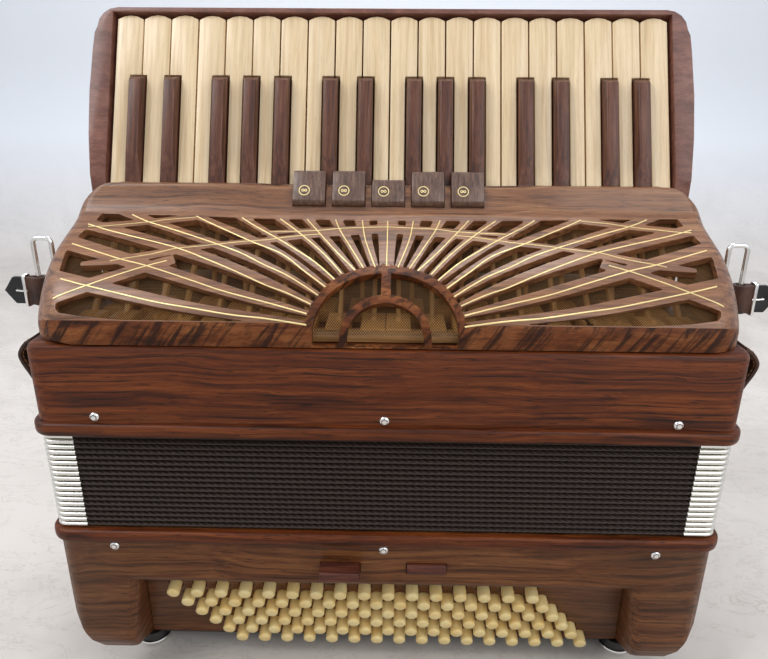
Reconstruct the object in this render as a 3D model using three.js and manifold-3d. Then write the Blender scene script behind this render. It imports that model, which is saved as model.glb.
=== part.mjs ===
import * as THREE from 'three';
import { mergeGeometries, mergeVertices } from 'three/addons/utils/BufferGeometryUtils.js';
import ManifoldModule from 'manifold-3d';

// A piano accordion with 34 keys and 96 bass buttons, closed, standing on its four bass feet.
// Millimetres, +Z up along the bellows, -Y towards the listener, X along the keyboard with the
// low notes at +X. Y is measured from the middle of the case depth until the last line of the
// assembly, which shifts everything so that the whole box is centred over the origin.

// Case
const caseSideMargin = 21;
const cornerRadius = 11;
const caseWall = 6;
const seatGap = 0.3;
const cutOverrun = 12;
const weldDistance = 0.0001;

// Bass half
const footHeight = 13;
const footRadius = 12.5;
const footSoleRadius = 8.5;
const footRimHeight = 7;
const footSides = 12;
const footSideInset = 39;
const footEdgeInset = 40;
const bottomPlateThickness = 2;
const bottomPlateSideInset = 40;
const bottomPlateBackInset = 27;
const bassCaseHeight = 108.5;
const bassEndWidth = 40;
const bassEndHeight = 75;
const bassFrontRadius = 32;
const bassBackRadius = 24;
const rimHeight = 8.5;
const rimProud = 3;
const rimRound = 2;
const rimSeatHeight = 12;
const domePinRadius = 3;
const domePinProud = 1.8;
const domePinSideInset = 39;
const domePinFromRim = 4.2;

// Bass button board in its recess
const recessSideInset = 50.5;
const recessFlareWidth = 9;
const recessLipHeight = 73;
const recessWall = 6;
const boardSetback = 13.8;
const boardThickness = 6;
const boardTilt = THREE.MathUtils.degToRad(15);
const buttonRows = 6;
const bassNoteRows = 2;
const buttonsPerRow = 16;
const buttonRadius = 4.45;
const buttonHoleGap = 0.75;
const buttonProud = 9;
const buttonPitch = 16.67;
const buttonRowPitch = 10.8;
const buttonRowShift = 8.38;
const buttonFirstInset = 18.8;
const buttonFirstDrop = 14.45;
const buttonSides = 6;
const buttonTravel = 3.5;
const carrierGap = 1;
const carrierThickness = 2.5;
const carrierMargin = 5.3;

// Bass registers, air button and hand strap
const bassRegisterX = 28.5;
const bassRegisterWidth = 26;
const bassRegisterHeight = 8;
const bassRegisterProud = 12;
const bassRegisterTravel = 9;
const bassRegisterAboveLip = 13;
const bassRegisterInside = 14;
const registerSlotGap = 0.4;
const airButtonRadius = 8;
const airButtonProud = 6;
const airButtonSideInset = 96;
const airButtonSetback = 63;
const airButtonCollar = 3;
const airButtonHoleGap = 0.4;
const airButtonSides = 12;
const handStrapEndInset = 26;
const handStrapWidth = 60;
const handStrapThickness = 4;
const handStrapClearance = 2;
const handStrapBackInset = 40;
const handStrapEndLength = 18;
const handStrapRamp = 14;

// Bellows
const foldCount = 18;
const foldPitch = 3.8;
const foldDepth = 4;
const bellowsInset = 1.5;
const bellowsCornerRadius = 7;
const bellowsBoreInset = 26;

// Treble case
const trebleCaseHeight = 50.1;
const trebleTopRound = 4;
const soundboardThickness = 6;
const reedBlockCount = 3;
const reedBlockWidth = 12;
const reedBlockHeight = 34;
const reedBlockEndGap = 14;
const reedBlockPitch = 46;
const palletHoleWidth = 9;
const palletHoleLength = 20;

// Treble cover: outline of its crown in the case depth, from the front edge to the key side
const coverHeight = 82.7;
const coverLipFromKeys = 19.5;
const coverInset = 2.5;
const coverEndRound = 25;
const coverWall = 4.5;
const coverEndWall = 6;
const coverBackGap = 2.5;
const crownShares = [
  [0.028, 0], [0.026, 0.06], [0.03, 0.133], [0.057, 0.218], [0.125, 0.308], [0.216, 0.393], [0.33, 0.469],
  [0.466, 0.538], [0.625, 0.611], [0.807, 0.689], [0.943, 0.75], [1.011, 0.804], [1.051, 0.871],
  [1.08, 0.937], [1.114, 1],
];
const roundSteps = 4;
const bassEndSteps = 8;
const boreSteps = 2;

// Fretwork in the cover, laid out on a plane that faces the listener from above
const fretTilt = THREE.MathUtils.degToRad(50);
const fretEndMargin = 7.5;
const fretLowRise = 6;
const fretTopMargin = 3.9;
const fretTopShares = [1.011, 0.804];
const fretCutDepth = 60;
const archBaseRise = 2.5;
const archHalfWidth = 47.5;
const archHeight = 52.2;
const archSideBand = 4.5;
const archTopBand = 7.3;
const innerArchHalfWidth = 27.3;
const innerArchHeight = 28.3;
const innerArchSideBand = 4.6;
const innerArchTopBand = 5.9;
const archBarWidth = 6;
const archSteps = 12;
const fretEdgeShares = [
  [0.3, 0.07], [0.75, 0.07], [0.86, 0.085], [0.932, 0.105], [0.942, 0.13], [0.966, 0.405], [0.98, 0.565],
  [0.976, 0.72], [0.951, 0.92], [0.942, 0.995], [0.7, 0.985], [0.4, 0.96], [0, 0.95],
];
const raySpotShares = [
  [[0.217, 0.057], [0.58, 0.155], [1.02, 0.371]],
  [[0.2135, 0.114], [0.515, 0.3], [1.03, 0.707]],
  [[0.204, 0.173], [0.565, 0.555], [1.03, 0.931]],
  [[0.187, 0.233], [0.445, 0.58], [0.9, 1.053]],
  [[0.165, 0.282], [0.36, 0.65], [0.68, 1.049]],
  [[0.143, 0.33], [0.31, 0.675], [0.515, 1.043]],
  [[0.121, 0.365], [0.235, 0.7], [0.385, 1.039]],
  [[0.09, 0.404], [0.175, 0.69], [0.285, 1.04]],
  [[0.063, 0.425], [0.115, 0.69], [0.187, 1.045]],
  [[0.032, 0.44], [0.06, 0.69], [0.092, 1.04]],
  [[0, 0.445], [0, 0.69], [0, 1.04]],
];
const rayWidth = 10;
const rayWidthShares = [
  [0.35, 0.75, 1.2], [0.32, 0.85, 1.4], [0.3, 1, 1.1], [0.3, 0.75, 0.8], [0.3, 0.55, 0.65], [0.32, 0.5, 0.7],
  [0.35, 0.5, 0.7], [0.45, 0.55, 0.73], [0.45, 0.6, 0.9], [0.48, 0.7, 1.1], [0.85, 1.1, 1.6],
];
const crossRibWidth = 7;
const crossRibShares = [
  [[0.99, 0.186], [0.87, 0.287], [0.64, 0.52]],
  [[0.915, 0.465], [0.8, 0.51], [0.65, 0.6], [0.54, 0.665], [0.37, 0.725], [0.21, 0.79], [0, 0.84]],
  [[1, 0.84], [0.78, 0.91], [0.6, 0.985]],
  [[0.4, 0.8], [0.14, 0.86], [0, 0.885]],
];
const crossRibWidthShares = [
  [1.7, 1.5, 1.3], [0.5, 1.2, 1.1, 0.75, 0.9, 0.85, 0.8], [1.1, 1, 1], [0.6, 0.7, 0.75],
];
const meshThickness = 1;
const meshGap = 0.4;
const meshLowShare = 0.04;
const meshHighShare = 0.84;
const meshBackShare = 0.9;

// Keyboard: the plane of the white keys leans back; s runs up the keys, t runs into them
const keyLean = THREE.MathUtils.degToRad(24);
const keySetback = 107.5;
const housingDepth = 78.5;
const keyRise = 1.7;
const whiteCount = 20;
const whitePitch = 19.5;
const keyGap = 1;
const whiteLength = 119;
const whiteThickness = 13;
const whiteEndRound = 3;
const tailLength = 33;
const blackLength = 74;
const blackWidth = 10.4;
const blackTopWidth = 7.6;
const blackHeight = 6.8;
const blackNoseSlope = 5;
const blackRampLength = 17;
const blackRampHeight = 1.2;
const blackThickness = 11;
const blackSideGap = 1.1;
const blackSideShift = 2.5;
const axleRadius = 2;
const axleRunningGap = 0.1;
const axleSides = 8;
const axleS = -25;
const axleT = 7.5;
const armWidth = 3;
const armThickness = 4;
const palletWidth = 15;
const palletLength = 30;
const palletHeight = 8;
const whitePalletSetback = 30;
const blackPalletSetback = 64;
const armReachShare = 0.35;
const armRootS = -29;
const whiteArmKneeSetback = 84;
const whiteArmKneeRise = 44;
const blackArmKneeSetback = 89;
const blackArmKneeRise = 36;

// Keyboard frame
const cheekWidth = 14;
const cheekGap = 2;
const cheekProud = 3;
const frameDepth = 27;
const framePanelThickness = 8;
const frameTopRailHeight = 3.4;
const frameEndGap = 0.8;
const frameCornerRadius = 14;
const frameBowWidth = 3.4;
const frameBowShares = [0, 0.25, 0.5, 0.75, 0.85];
const housingBackRise = 31;
const housingShoulderDrop = 5;
const housingShoulderRise = 45;
const housingMeetLength = 30;

// Treble registers
const registerCount = 5;
const registerWidth = 22;
const registerPitch = 27;
const registerBack = 4.2;
const registerTop = 5;
const registerTravel = 6;
const registerFaceLow = -14;
const registerFaceLowProud = 10.6;
const registerFaceHighProud = 7;
const registerBevel = 2.4;
const registerTongueLow = -21;
const registerTongueProud = 6.4;
const registerSlotLow = -20.5;
const registerPocketDepth = 7;
const registerSideGap = 0.5;
const coverLipGap = 3.6;

// Straps
const closingStrapWidth = 22;
const closingStrapThickness = 2.6;
const closingStrapSetback = 33;
const closingStrapBelow = 22;
const closingStrapStraightAbove = 12;
const closingStrapBulge = 9;
const closingStrapBulgeRise = 36;
const closingStrapTopRise = 46;
const closingStudRadius = 4.5;
const closingStudProud = 2;
const strapPlateThickness = 2;
const strapPlateLow = 4;
const strapPlateHeight = 27;
const strapPlateWidth = 20;
const strapPinOut = 6.5;
const strapSetback = 63;
const ringWire = 3.2;
const ringWidth = 12;
const ringLow = 2;
const ringHeight = 49;
const ringRound = 4;
const ringBarRadius = 1.7;
const knuckleRadius = 3.6;
const knuckleHeight = 4;
const knuckleGap = 0.08;
const knuckleHighRise = 24;
const strapEyeGap = 0.25;
const strapThickness = 3;
const strapBandWidth = 19;
const strapBandRise = 1;
const strapBandLength = 24;
const strapPointLength = 6;
const buckleOut = 9;
const buckleWire = 2.6;

// Colours seen on the instrument
const walnut = '#6b3f28';
const walnutDark = '#4e3226';
const maple = '#e6cf9f';
const ivory = '#e8d79c';
const brassMesh = '#8a7346';
const steel = '#c9c9c9';
const blackRubber = '#1d1b1a';
const leatherBrown = '#4a2c1c';
const bellowsBrown = '#3a2a25';

// Places that follow from the sizes above
const caseWidth = whiteCount * whitePitch + 2 * caseSideMargin;
const caseDepth = keySetback + housingDepth;
const halfWidth = caseWidth / 2;
const halfDepth = caseDepth / 2;
const bassBottom = footHeight;
const bassTop = bassBottom + bassCaseHeight + rimHeight;
const bellowsLow = bassTop + seatGap;
const bellowsHigh = bellowsLow + foldCount * foldPitch;
const trebleLow = bellowsHigh + seatGap;
const trebleTop = trebleLow + rimHeight + trebleCaseHeight;
const footX = halfWidth - footSideInset;
const footY = -halfDepth + footEdgeInset;
const bottomPlateHalfLength = halfWidth - bottomPlateSideInset;
const bottomPlateBack = halfDepth - bottomPlateBackInset;
const domePinX = halfWidth - domePinSideInset;
const recessHalfWidth = halfWidth - recessSideInset;
const buttonFirstX = -recessHalfWidth + buttonFirstInset;
const airButtonX = halfWidth - airButtonSideInset;
const airButtonY = -halfDepth + airButtonSetback;
const handStrapHalfLength = bottomPlateHalfLength - handStrapEndInset;
const handStrapY = bottomPlateBack - handStrapBackInset;
const reedBlockHalfLength = halfWidth - caseWall - reedBlockEndGap;
const coverLipSetback = keySetback - coverLipFromKeys;
const fretHalfWidth = halfWidth - coverInset - fretEndMargin;
const closingStrapY = -halfDepth + closingStrapSetback;
const strapY = -halfDepth + strapSetback;
const coverLow = trebleTop;
const coverTop = coverLow + coverHeight;
const keyBaseY = -halfDepth + keySetback;
const keyBaseZ = coverTop + keyRise;
const coverBackY = keyBaseY - coverBackGap;
const keyboardHalf = whiteCount * whitePitch / 2;
const frameHalf = keyboardHalf + cheekGap + cheekWidth;
const frameTopS = whiteLength + frameEndGap + frameTopRailHeight;
const recessLipZ = bassBottom + recessLipHeight;
const bassRimZ = bassTop - rimHeight;
const boardTopY = -halfDepth + boardSetback;
const fretBase = coverLow * Math.cos(fretTilt) - halfDepth * Math.sin(fretTilt);
const fretLow = fretBase + fretLowRise;
const fretTopY = -halfDepth + fretTopShares[0] * coverLipSetback;
const fretTopZ = coverLow + fretTopShares[1] * coverHeight;
const fretHigh = fretTopY * Math.sin(fretTilt) + fretTopZ * Math.cos(fretTilt) - fretTopMargin;
const archBase = fretBase + archBaseRise;

const wasm = await ManifoldModule();
wasm.setup();

// Solids: a closed geometry becomes a solid that can be joined and cut
function toSolid(geometry) {
  const plain = geometry.clone();
  plain.deleteAttribute('normal');
  plain.deleteAttribute('uv');
  const merged = mergeVertices(plain, weldDistance);
  const corners = Array.from(merged.index.array);
  const faces = [];
  for (let start = 0; start < corners.length; start += 3) {
    const [a, b, c] = corners.slice(start, start + 3);
    if (a !== b && b !== c && c !== a) {
      faces.push(a, b, c);
    }
  }
  const mesh = new wasm.Mesh({
    numProp: 3,
    vertProperties: new Float32Array(merged.attributes.position.array),
    triVerts: new Uint32Array(faces),
  });
  return new wasm.Manifold(mesh);
}

function toGeometry(solid) {
  const mesh = solid.getMesh();
  const geometry = new THREE.BufferGeometry();
  geometry.setAttribute('position', new THREE.BufferAttribute(new Float32Array(mesh.vertProperties), 3));
  geometry.setIndex(new THREE.BufferAttribute(new Uint32Array(mesh.triVerts), 1));
  geometry.computeVertexNormals();
  return geometry;
}

function join(solids) {
  return solids.reduce((whole, solid) => whole.add(solid));
}

function outline(points) {
  return new THREE.Shape(points.map(([a, b]) => new THREE.Vector2(a, b)));
}

function extruded(points, depth, holes = []) {
  const shape = outline(points);
  shape.holes = holes.map(outline);
  return new THREE.ExtrudeGeometry(shape, { depth, bevelEnabled: false });
}

// Prisms: points are (X, Y), (Y, Z) or (X, Z) and the prism runs along the third axis
function prismZ(points, low, high) {
  const geometry = extruded(points, high - low);
  geometry.translate(0, 0, low);
  return toSolid(geometry);
}

function prismX(points, low, high) {
  const geometry = extruded(points, high - low);
  const basis = new THREE.Matrix4().makeBasis(
    new THREE.Vector3(0, 1, 0), new THREE.Vector3(0, 0, 1), new THREE.Vector3(1, 0, 0));
  geometry.applyMatrix4(basis);
  geometry.translate(low, 0, 0);
  return toSolid(geometry);
}

function prismY(points, low, high) {
  const geometry = extruded(points, high - low);
  const basis = new THREE.Matrix4().makeBasis(
    new THREE.Vector3(1, 0, 0), new THREE.Vector3(0, 0, 1), new THREE.Vector3(0, -1, 0));
  geometry.applyMatrix4(basis);
  geometry.translate(0, high, 0);
  return toSolid(geometry);
}

function block(low, high) {
  const size = high.map((value, axis) => value - low[axis]);
  const geometry = new THREE.BoxGeometry(size[0], size[1], size[2]);
  geometry.translate(low[0] + size[0] / 2, low[1] + size[1] / 2, low[2] + size[2] / 2);
  return toSolid(geometry);
}

function arcPoints(centreA, centreB, radius, from, to, steps) {
  return Array.from({ length: steps + 1 }, (_, step) => {
    const angle = from + (to - from) * step / steps;
    return [centreA + radius * Math.cos(angle), centreB + radius * Math.sin(angle)];
  });
}

function ellipsePoints(centreA, centreB, radiusA, radiusB, from, to, steps) {
  return arcPoints(0, 0, 1, from, to, steps).map(([a, b]) => [centreA + radiusA * a, centreB + radiusB * b]);
}

// A solid of revolution: profile points are (radius, height) and the axis runs along the given direction
function turned(profile, sides, axis, origin) {
  const points = profile.map(([radius, height]) => new THREE.Vector2(radius, height));
  const geometry = new THREE.LatheGeometry(points, sides);
  const upright = new THREE.Vector3(0, 1, 0);
  const turn = new THREE.Quaternion().setFromUnitVectors(upright, new THREE.Vector3(...axis));
  geometry.applyQuaternion(turn);
  geometry.translate(...origin);
  return toSolid(geometry);
}

function roundedRectangle(width, depth, radius, steps = roundSteps) {
  const a = width / 2 - radius;
  const b = depth / 2 - radius;
  const quarter = Math.PI / 2;
  return [
    ...arcPoints(a, -b, radius, -quarter, 0, steps),
    ...arcPoints(a, b, radius, 0, quarter, steps),
    ...arcPoints(-a, b, radius, quarter, 2 * quarter, steps),
    ...arcPoints(-a, -b, radius, 2 * quarter, 3 * quarter, steps),
  ];
}

// Loft: rings of equally many points, each given as [x, y, z], closed by flat ends
function loft(rings) {
  const count = rings[0].length;
  const points = rings.flat();
  const faces = [];
  for (let ring = 0; ring + 1 < rings.length; ring += 1) {
    for (let point = 0; point < count; point += 1) {
      const a = ring * count + point;
      const b = ring * count + (point + 1) % count;
      faces.push([a, b, b + count], [a, b + count, a + count]);
    }
  }
  const last = (rings.length - 1) * count;
  capFaces(rings[0]).forEach(([a, b, c]) => faces.push([a, c, b]));
  capFaces(rings[rings.length - 1]).forEach(([a, b, c]) => faces.push([last + a, last + b, last + c]));
  const corners = points.map((point) => new THREE.Vector3(...point));
  const volume = faces.reduce((sum, [a, b, c]) => sum + corners[a].dot(
    new THREE.Vector3().crossVectors(corners[b], corners[c])), 0);
  const outward = volume < 0 ? faces.map(([a, b, c]) => [a, c, b]) : faces;
  const geometry = new THREE.BufferGeometry();
  geometry.setAttribute('position', new THREE.Float32BufferAttribute(points.flat(), 3));
  geometry.setIndex(outward.flat());
  return toSolid(geometry);
}

// The faces of a flat end, wound the same way as its ring
function capFaces(ring) {
  const drop = facingAxis(ring);
  const flat = ring.map((point) => new THREE.Vector2(point[(drop + 1) % 3], point[(drop + 2) % 3]));
  const faces = THREE.ShapeUtils.triangulateShape(flat, []);
  const areaOf = (face) => THREE.ShapeUtils.area(face.map((index) => flat[index]));
  const faceArea = faces.reduce((sum, face) => sum + areaOf(face), 0);
  const sameWay = faceArea * THREE.ShapeUtils.area(flat) > 0;
  return sameWay ? faces : faces.map(([a, b, c]) => [a, c, b]);
}

// The axis that a ring faces most, from the sum of its edge cross products
function facingAxis(ring) {
  const normal = ring.reduce((sum, point, index) => {
    const next = new THREE.Vector3(...ring[(index + 1) % ring.length]);
    return sum.add(new THREE.Vector3(...point).cross(next));
  }, new THREE.Vector3()).toArray().map(Math.abs);
  return normal.indexOf(Math.max(...normal));
}

// Keyboard plane: (s, t) to (Y, Z), with s up the keys and t into them
function keyPoint(s, t) {
  return [
    keyBaseY + s * Math.sin(keyLean) + t * Math.cos(keyLean),
    keyBaseZ + s * Math.cos(keyLean) - t * Math.sin(keyLean),
  ];
}

function keyProfile(points) {
  return points.map(([s, t]) => keyPoint(s, t));
}

// A prism whose outline is (X, s) on the keyboard plane and which runs from t low to t high
function keyPlate(points, low, high) {
  const geometry = extruded(points, high - low);
  const up = new THREE.Vector3(0, Math.sin(keyLean), Math.cos(keyLean));
  const out = new THREE.Vector3(0, -Math.cos(keyLean), Math.sin(keyLean));
  const basis = new THREE.Matrix4().makeBasis(new THREE.Vector3(1, 0, 0), up, out);
  geometry.applyMatrix4(basis);
  const [y, z] = keyPoint(0, high);
  geometry.translate(0, y, z);
  return toSolid(geometry);
}

// Bass case
function bassBody(inset, top) {
  const width = caseWidth - 2 * inset;
  const depth = caseDepth - 2 * inset;
  const low = bassBottom + inset;
  const endWidth = bassEndWidth - inset;
  const endHeight = bassEndHeight - inset;
  const frontRadius = bassFrontRadius - inset;
  const backRadius = bassBackRadius - inset;
  const quarter = Math.PI / 2;
  const steps = roundSteps + 1;
  const plan = prismZ(roundedRectangle(width, depth, cornerRadius - inset), low, top);
  const side = prismX([
    [-depth / 2, top],
    ...arcPoints(-depth / 2 + frontRadius, low + frontRadius, frontRadius, 2 * quarter, 3 * quarter, steps),
    ...arcPoints(depth / 2 - backRadius, low + backRadius, backRadius, -quarter, 0, roundSteps),
    [depth / 2, top],
  ], -width, width);
  const centre = width / 2 - endWidth;
  const front = prismY([
    [-width / 2, top],
    ...ellipsePoints(-centre, low + endHeight, endWidth, endHeight, 2 * quarter, 3 * quarter, bassEndSteps),
    ...ellipsePoints(centre, low + endHeight, endWidth, endHeight, -quarter, 0, bassEndSteps),
    [width / 2, top],
  ], -depth, depth);
  return plan.intersect(side).intersect(front);
}

// A bead round the open edge of a case, rounded at its top and bottom
function rimBead(low, high) {
  const ring = (inset, z) => roundedRectangle(
    caseWidth + 2 * rimProud - 2 * inset,
    caseDepth + 2 * rimProud - 2 * inset,
    cornerRadius + rimProud - inset,
  ).map(([x, y]) => [x, y, z]);
  return loft([
    ring(rimRound, low),
    ring(0, low + rimRound),
    ring(0, high - rimRound),
    ring(rimRound, high),
  ]);
}

// Board plane: its front face starts under the lip and runs down and back
function boardPoint(down, behind) {
  return [
    boardTopY + down * Math.sin(boardTilt) + behind * Math.cos(boardTilt),
    recessLipZ - down * Math.cos(boardTilt) + behind * Math.sin(boardTilt),
  ];
}

function boardDownTo(z, behind) {
  return (recessLipZ + behind * Math.sin(boardTilt) - z) / Math.cos(boardTilt);
}

function recessProfile(behind, top) {
  const front = -halfDepth - cutOverrun;
  const low = bassBottom - cutOverrun;
  return [
    [front, top],
    boardPoint(boardDownTo(top, behind), behind),
    boardPoint(boardDownTo(low, behind), behind),
    [front, low],
  ];
}

// The recess widens towards the bottom: its outline from the front, grown by a wall or shrunk by a gap
function recessFront(grow) {
  const low = bassBottom - cutOverrun;
  const flarePerHeight = recessFlareWidth / recessLipHeight;
  const lowHalf = recessHalfWidth + flarePerHeight * (recessLipHeight + cutOverrun) + grow;
  const highHalf = recessHalfWidth - flarePerHeight * cutOverrun + grow;
  const high = recessLipZ + cutOverrun;
  return [[-lowHalf, low], [lowHalf, low], [highHalf, high], [-highHalf, high]];
}

function bassRegisterSlot(x) {
  const low = recessLipZ + bassRegisterAboveLip - registerSlotGap;
  const high = low + bassRegisterHeight + 2 * registerSlotGap;
  const half = bassRegisterWidth / 2 + registerSlotGap;
  const front = -halfDepth - cutOverrun;
  return block([x - half, front, low], [x + half, -halfDepth + caseWall + cutOverrun, high]);
}

function airButtonHole() {
  const radius = (airButtonRadius + airButtonHoleGap) / Math.cos(Math.PI / airButtonSides);
  const reach = caseWall + 2 * cutOverrun;
  return turned([[0, -reach], [radius, -reach], [radius, reach], [0, reach]],
    airButtonSides, [0, 0, 1], [airButtonX, airButtonY, bassBottom]);
}

// Chrome pins with domed heads hold the bellows frames, three in front and three behind
function domePins(z) {
  const sink = rimProud;
  const places = [-domePinX, 0, domePinX].flatMap((x) => [[x, -1], [x, 1]]);
  return join(places.map(([x, side]) => turned([
    [0, -sink], [domePinRadius, -sink], [domePinRadius, domePinProud / 3],
    [domePinRadius * 2 / 3, domePinProud], [0, domePinProud],
  ], buttonSides, [0, side, 0], [x, side * halfDepth, z])));
}

function bassCase() {
  const outer = bassBody(0, bassTop);
  const cavity = bassBody(caseWall, bassTop + cutOverrun);
  const bead = rimBead(bassRimZ, bassTop);
  const seat = prismZ(roundedRectangle(caseWidth - caseWall, caseDepth - caseWall, cornerRadius),
    bassTop - rimSeatHeight, bassTop);
  const mouth = prismZ(
    roundedRectangle(caseWidth - 2 * bellowsBoreInset, caseDepth - 2 * bellowsBoreInset, caseWall, boreSteps),
    bassTop - rimSeatHeight - cutOverrun, bassTop + cutOverrun);
  const recess = prismX(recessProfile(boardThickness + seatGap, recessLipZ), -caseWidth, caseWidth)
    .intersect(prismY(recessFront(seatGap), -caseDepth, caseDepth));
  const wallTop = recessLipZ + recessWall / 2;
  const walls = prismX(recessProfile(boardThickness, wallTop), -caseWidth, caseWidth)
    .intersect(prismY(recessFront(seatGap + recessWall), -caseDepth, caseDepth))
    .intersect(outer);
  const lipBack = boardTopY + 2 * boardThickness;
  const lip = prismX([
    [-halfDepth, recessLipZ],
    [lipBack, recessLipZ],
    [lipBack, recessLipZ + recessWall],
    [-halfDepth, recessLipZ + recessWall],
  ], -recessHalfWidth - recessWall, recessHalfWidth + recessWall).intersect(outer);
  const far = boardThickness + 2 * carrierGap + carrierThickness + buttonTravel;
  const roomTop = buttonFirstDrop - 2 * carrierMargin;
  const roomBottom = boardDownTo(bassBottom, 0);
  const carrierRoom = toSolid(boardPlate([
    [-recessHalfWidth, roomTop],
    [recessHalfWidth, roomTop],
    [recessHalfWidth, roomBottom],
    [-recessHalfWidth, roomBottom],
  ], boardThickness, far));
  return outer.subtract(cavity).add(seat).add(bead).subtract(mouth)
    .add(walls).add(lip).subtract(recess).subtract(carrierRoom)
    .add(domePins(bassRimZ - domePinFromRim))
    .subtract(bassRegisterSlot(-bassRegisterX))
    .subtract(bassRegisterSlot(bassRegisterX))
    .subtract(airButtonHole());
}

// Button board with its 96 holes, and the buttons
function buttonPlaces() {
  const places = [];
  for (let row = 0; row < buttonRows; row += 1) {
    for (let button = 0; button < buttonsPerRow; button += 1) {
      const x = buttonFirstX + row * buttonRowShift + button * buttonPitch;
      places.push({ row, x, down: buttonFirstDrop + row * buttonRowPitch });
    }
  }
  return places;
}

// Outlines on the board are (X, down) and extruded from the front face backwards
function boardPlate(points, near, far, holes = []) {
  const geometry = extruded(points, far - near, holes);
  const across = new THREE.Vector3(1, 0, 0);
  const down = new THREE.Vector3(0, Math.sin(boardTilt), -Math.cos(boardTilt));
  const inwards = new THREE.Vector3().crossVectors(across, down);
  geometry.applyMatrix4(new THREE.Matrix4().makeBasis(across, down, inwards));
  geometry.translate(0, ...boardPoint(0, near));
  return geometry;
}

function buttonOutline({ x, down }, radius) {
  return arcPoints(x, down, radius, 0, 2 * Math.PI, buttonSides).slice(1);
}

function bassButtonBoard() {
  const reach = recessHalfWidth + 2 * recessFlareWidth;
  const bottom = boardDownTo(bassBottom, boardThickness);
  const radius = (buttonRadius + buttonHoleGap) / Math.cos(Math.PI / buttonSides);
  const holes = buttonPlaces().map((place) => buttonOutline(place, radius));
  const plate = toSolid(boardPlate([[-reach, -cutOverrun], [reach, -cutOverrun],
    [reach, bottom + cutOverrun], [-reach, bottom + cutOverrun]], 0, boardThickness, holes));
  return plate.intersect(prismY(recessFront(0), -caseDepth, caseDepth))
    .intersect(block([-caseWidth, -caseDepth, bassBottom], [caseWidth, caseDepth, recessLipZ - seatGap]));
}

// The buttons of some rows stand on one carrier behind the board
function bassButtons(firstRow, rowCount) {
  const behind = boardThickness + carrierGap;
  const places = buttonPlaces().filter(({ row }) => row >= firstRow && row < firstRow + rowCount);
  const cornerReach = buttonRadius / Math.cos(Math.PI / buttonSides);
  const pinEnd = behind + carrierThickness / 2;
  const pins = places.map((place) => boardPlate(buttonOutline(place, cornerReach), -buttonProud, pinEnd));
  const first = places[0];
  const last = places[places.length - 1];
  const length = (buttonsPerRow - 1) * buttonPitch;
  const slope = buttonRowShift / buttonRowPitch * carrierMargin;
  const carrier = boardPlate([
    [first.x - carrierMargin - slope, first.down - carrierMargin],
    [first.x + length + carrierMargin - slope, first.down - carrierMargin],
    [last.x + carrierMargin + slope, last.down + carrierMargin],
    [last.x - length - carrierMargin + slope, last.down + carrierMargin],
  ], behind, behind + carrierThickness);
  return toSolid(mergeGeometries(pins)).add(toSolid(carrier));
}

function bassRegister(x, proud) {
  const low = recessLipZ + bassRegisterAboveLip;
  const front = -halfDepth - proud;
  const back = -halfDepth + caseWall + bassRegisterInside;
  const chamfer = bassRegisterHeight / 4;
  return prismX([
    [front + chamfer, low],
    [back, low],
    [back, low + bassRegisterHeight],
    [front + chamfer / 2, low + bassRegisterHeight],
    [front, low + bassRegisterHeight - chamfer],
    [front, low + chamfer],
  ], x - bassRegisterWidth / 2, x + bassRegisterWidth / 2);
}

function airButton() {
  const low = bassBottom - airButtonProud;
  const edge = airButtonRadius / 4;
  const collar = airButtonRadius + 2 * airButtonHoleGap + edge;
  const seat = bassBottom + caseWall + seatGap;
  const top = seat + airButtonCollar;
  return turned([
    [0, low],
    [airButtonRadius - edge, low],
    [airButtonRadius, low + edge],
    [airButtonRadius, seat],
    [collar, seat],
    [collar, top],
    [0, top],
  ], airButtonSides, [0, 0, 1], [airButtonX, airButtonY, 0]);
}

function foot(x, y) {
  const top = footHeight - seatGap;
  return turned([
    [0, 0],
    [footSoleRadius, 0],
    [footRadius, footRimHeight / 2],
    [footRadius, footRimHeight],
    [footRadius - footRimHeight / 3, top],
    [0, top],
  ], footSides, [0, 0, 1], [x, y, 0]);
}

// The plate that closes the bass bottom carries the four feet
function bottomPlate() {
  const high = footHeight - seatGap;
  const low = high - bottomPlateThickness;
  const front = footY - footRadius / 3;
  const plate = block([-bottomPlateHalfLength, front, low], [bottomPlateHalfLength, bottomPlateBack, high]);
  const feet = [-footX, footX].flatMap((x) => [foot(x, footY), foot(x, -footY)]);
  return join([plate, ...feet]).subtract(airButtonHole());
}

// The hand strap lies flat under the bass end, with a hand gap above it
function handStrap() {
  const high = footHeight - bottomPlateThickness - 2 * seatGap;
  const low = handStrapClearance;
  const end = handStrapHalfLength;
  const ramp = end - handStrapEndLength;
  const inner = ramp - handStrapRamp;
  return prismY([
    [-end, high], [-end, high - handStrapThickness], [-ramp, high - handStrapThickness],
    [-inner, low], [inner, low],
    [ramp, high - handStrapThickness], [end, high - handStrapThickness], [end, high],
    [ramp, high], [inner, low + handStrapThickness],
    [-inner, low + handStrapThickness], [-ramp, high],
  ], handStrapY - handStrapWidth / 2, handStrapY + handStrapWidth / 2);
}

// Bellows: folds outside, a plain bore inside
function bellows() {
  const width = caseWidth - 2 * bellowsInset;
  const depth = caseDepth - 2 * bellowsInset;
  const ring = (inset, z) => roundedRectangle(
    width - 2 * inset, depth - 2 * inset, bellowsCornerRadius - inset, boreSteps).map(([x, y]) => [x, y, z]);
  const rings = [ring(foldDepth, bellowsLow)];
  for (let fold = 0; fold < foldCount; fold += 1) {
    const low = bellowsLow + fold * foldPitch;
    rings.push(ring(0, low + foldPitch / 2));
    rings.push(ring(foldDepth, low + foldPitch));
  }
  const bore = prismZ(
    roundedRectangle(caseWidth - 2 * bellowsBoreInset, caseDepth - 2 * bellowsBoreInset, caseWall, boreSteps),
    bellowsLow - cutOverrun, bellowsHigh + cutOverrun);
  return loft(rings).subtract(bore);
}

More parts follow.
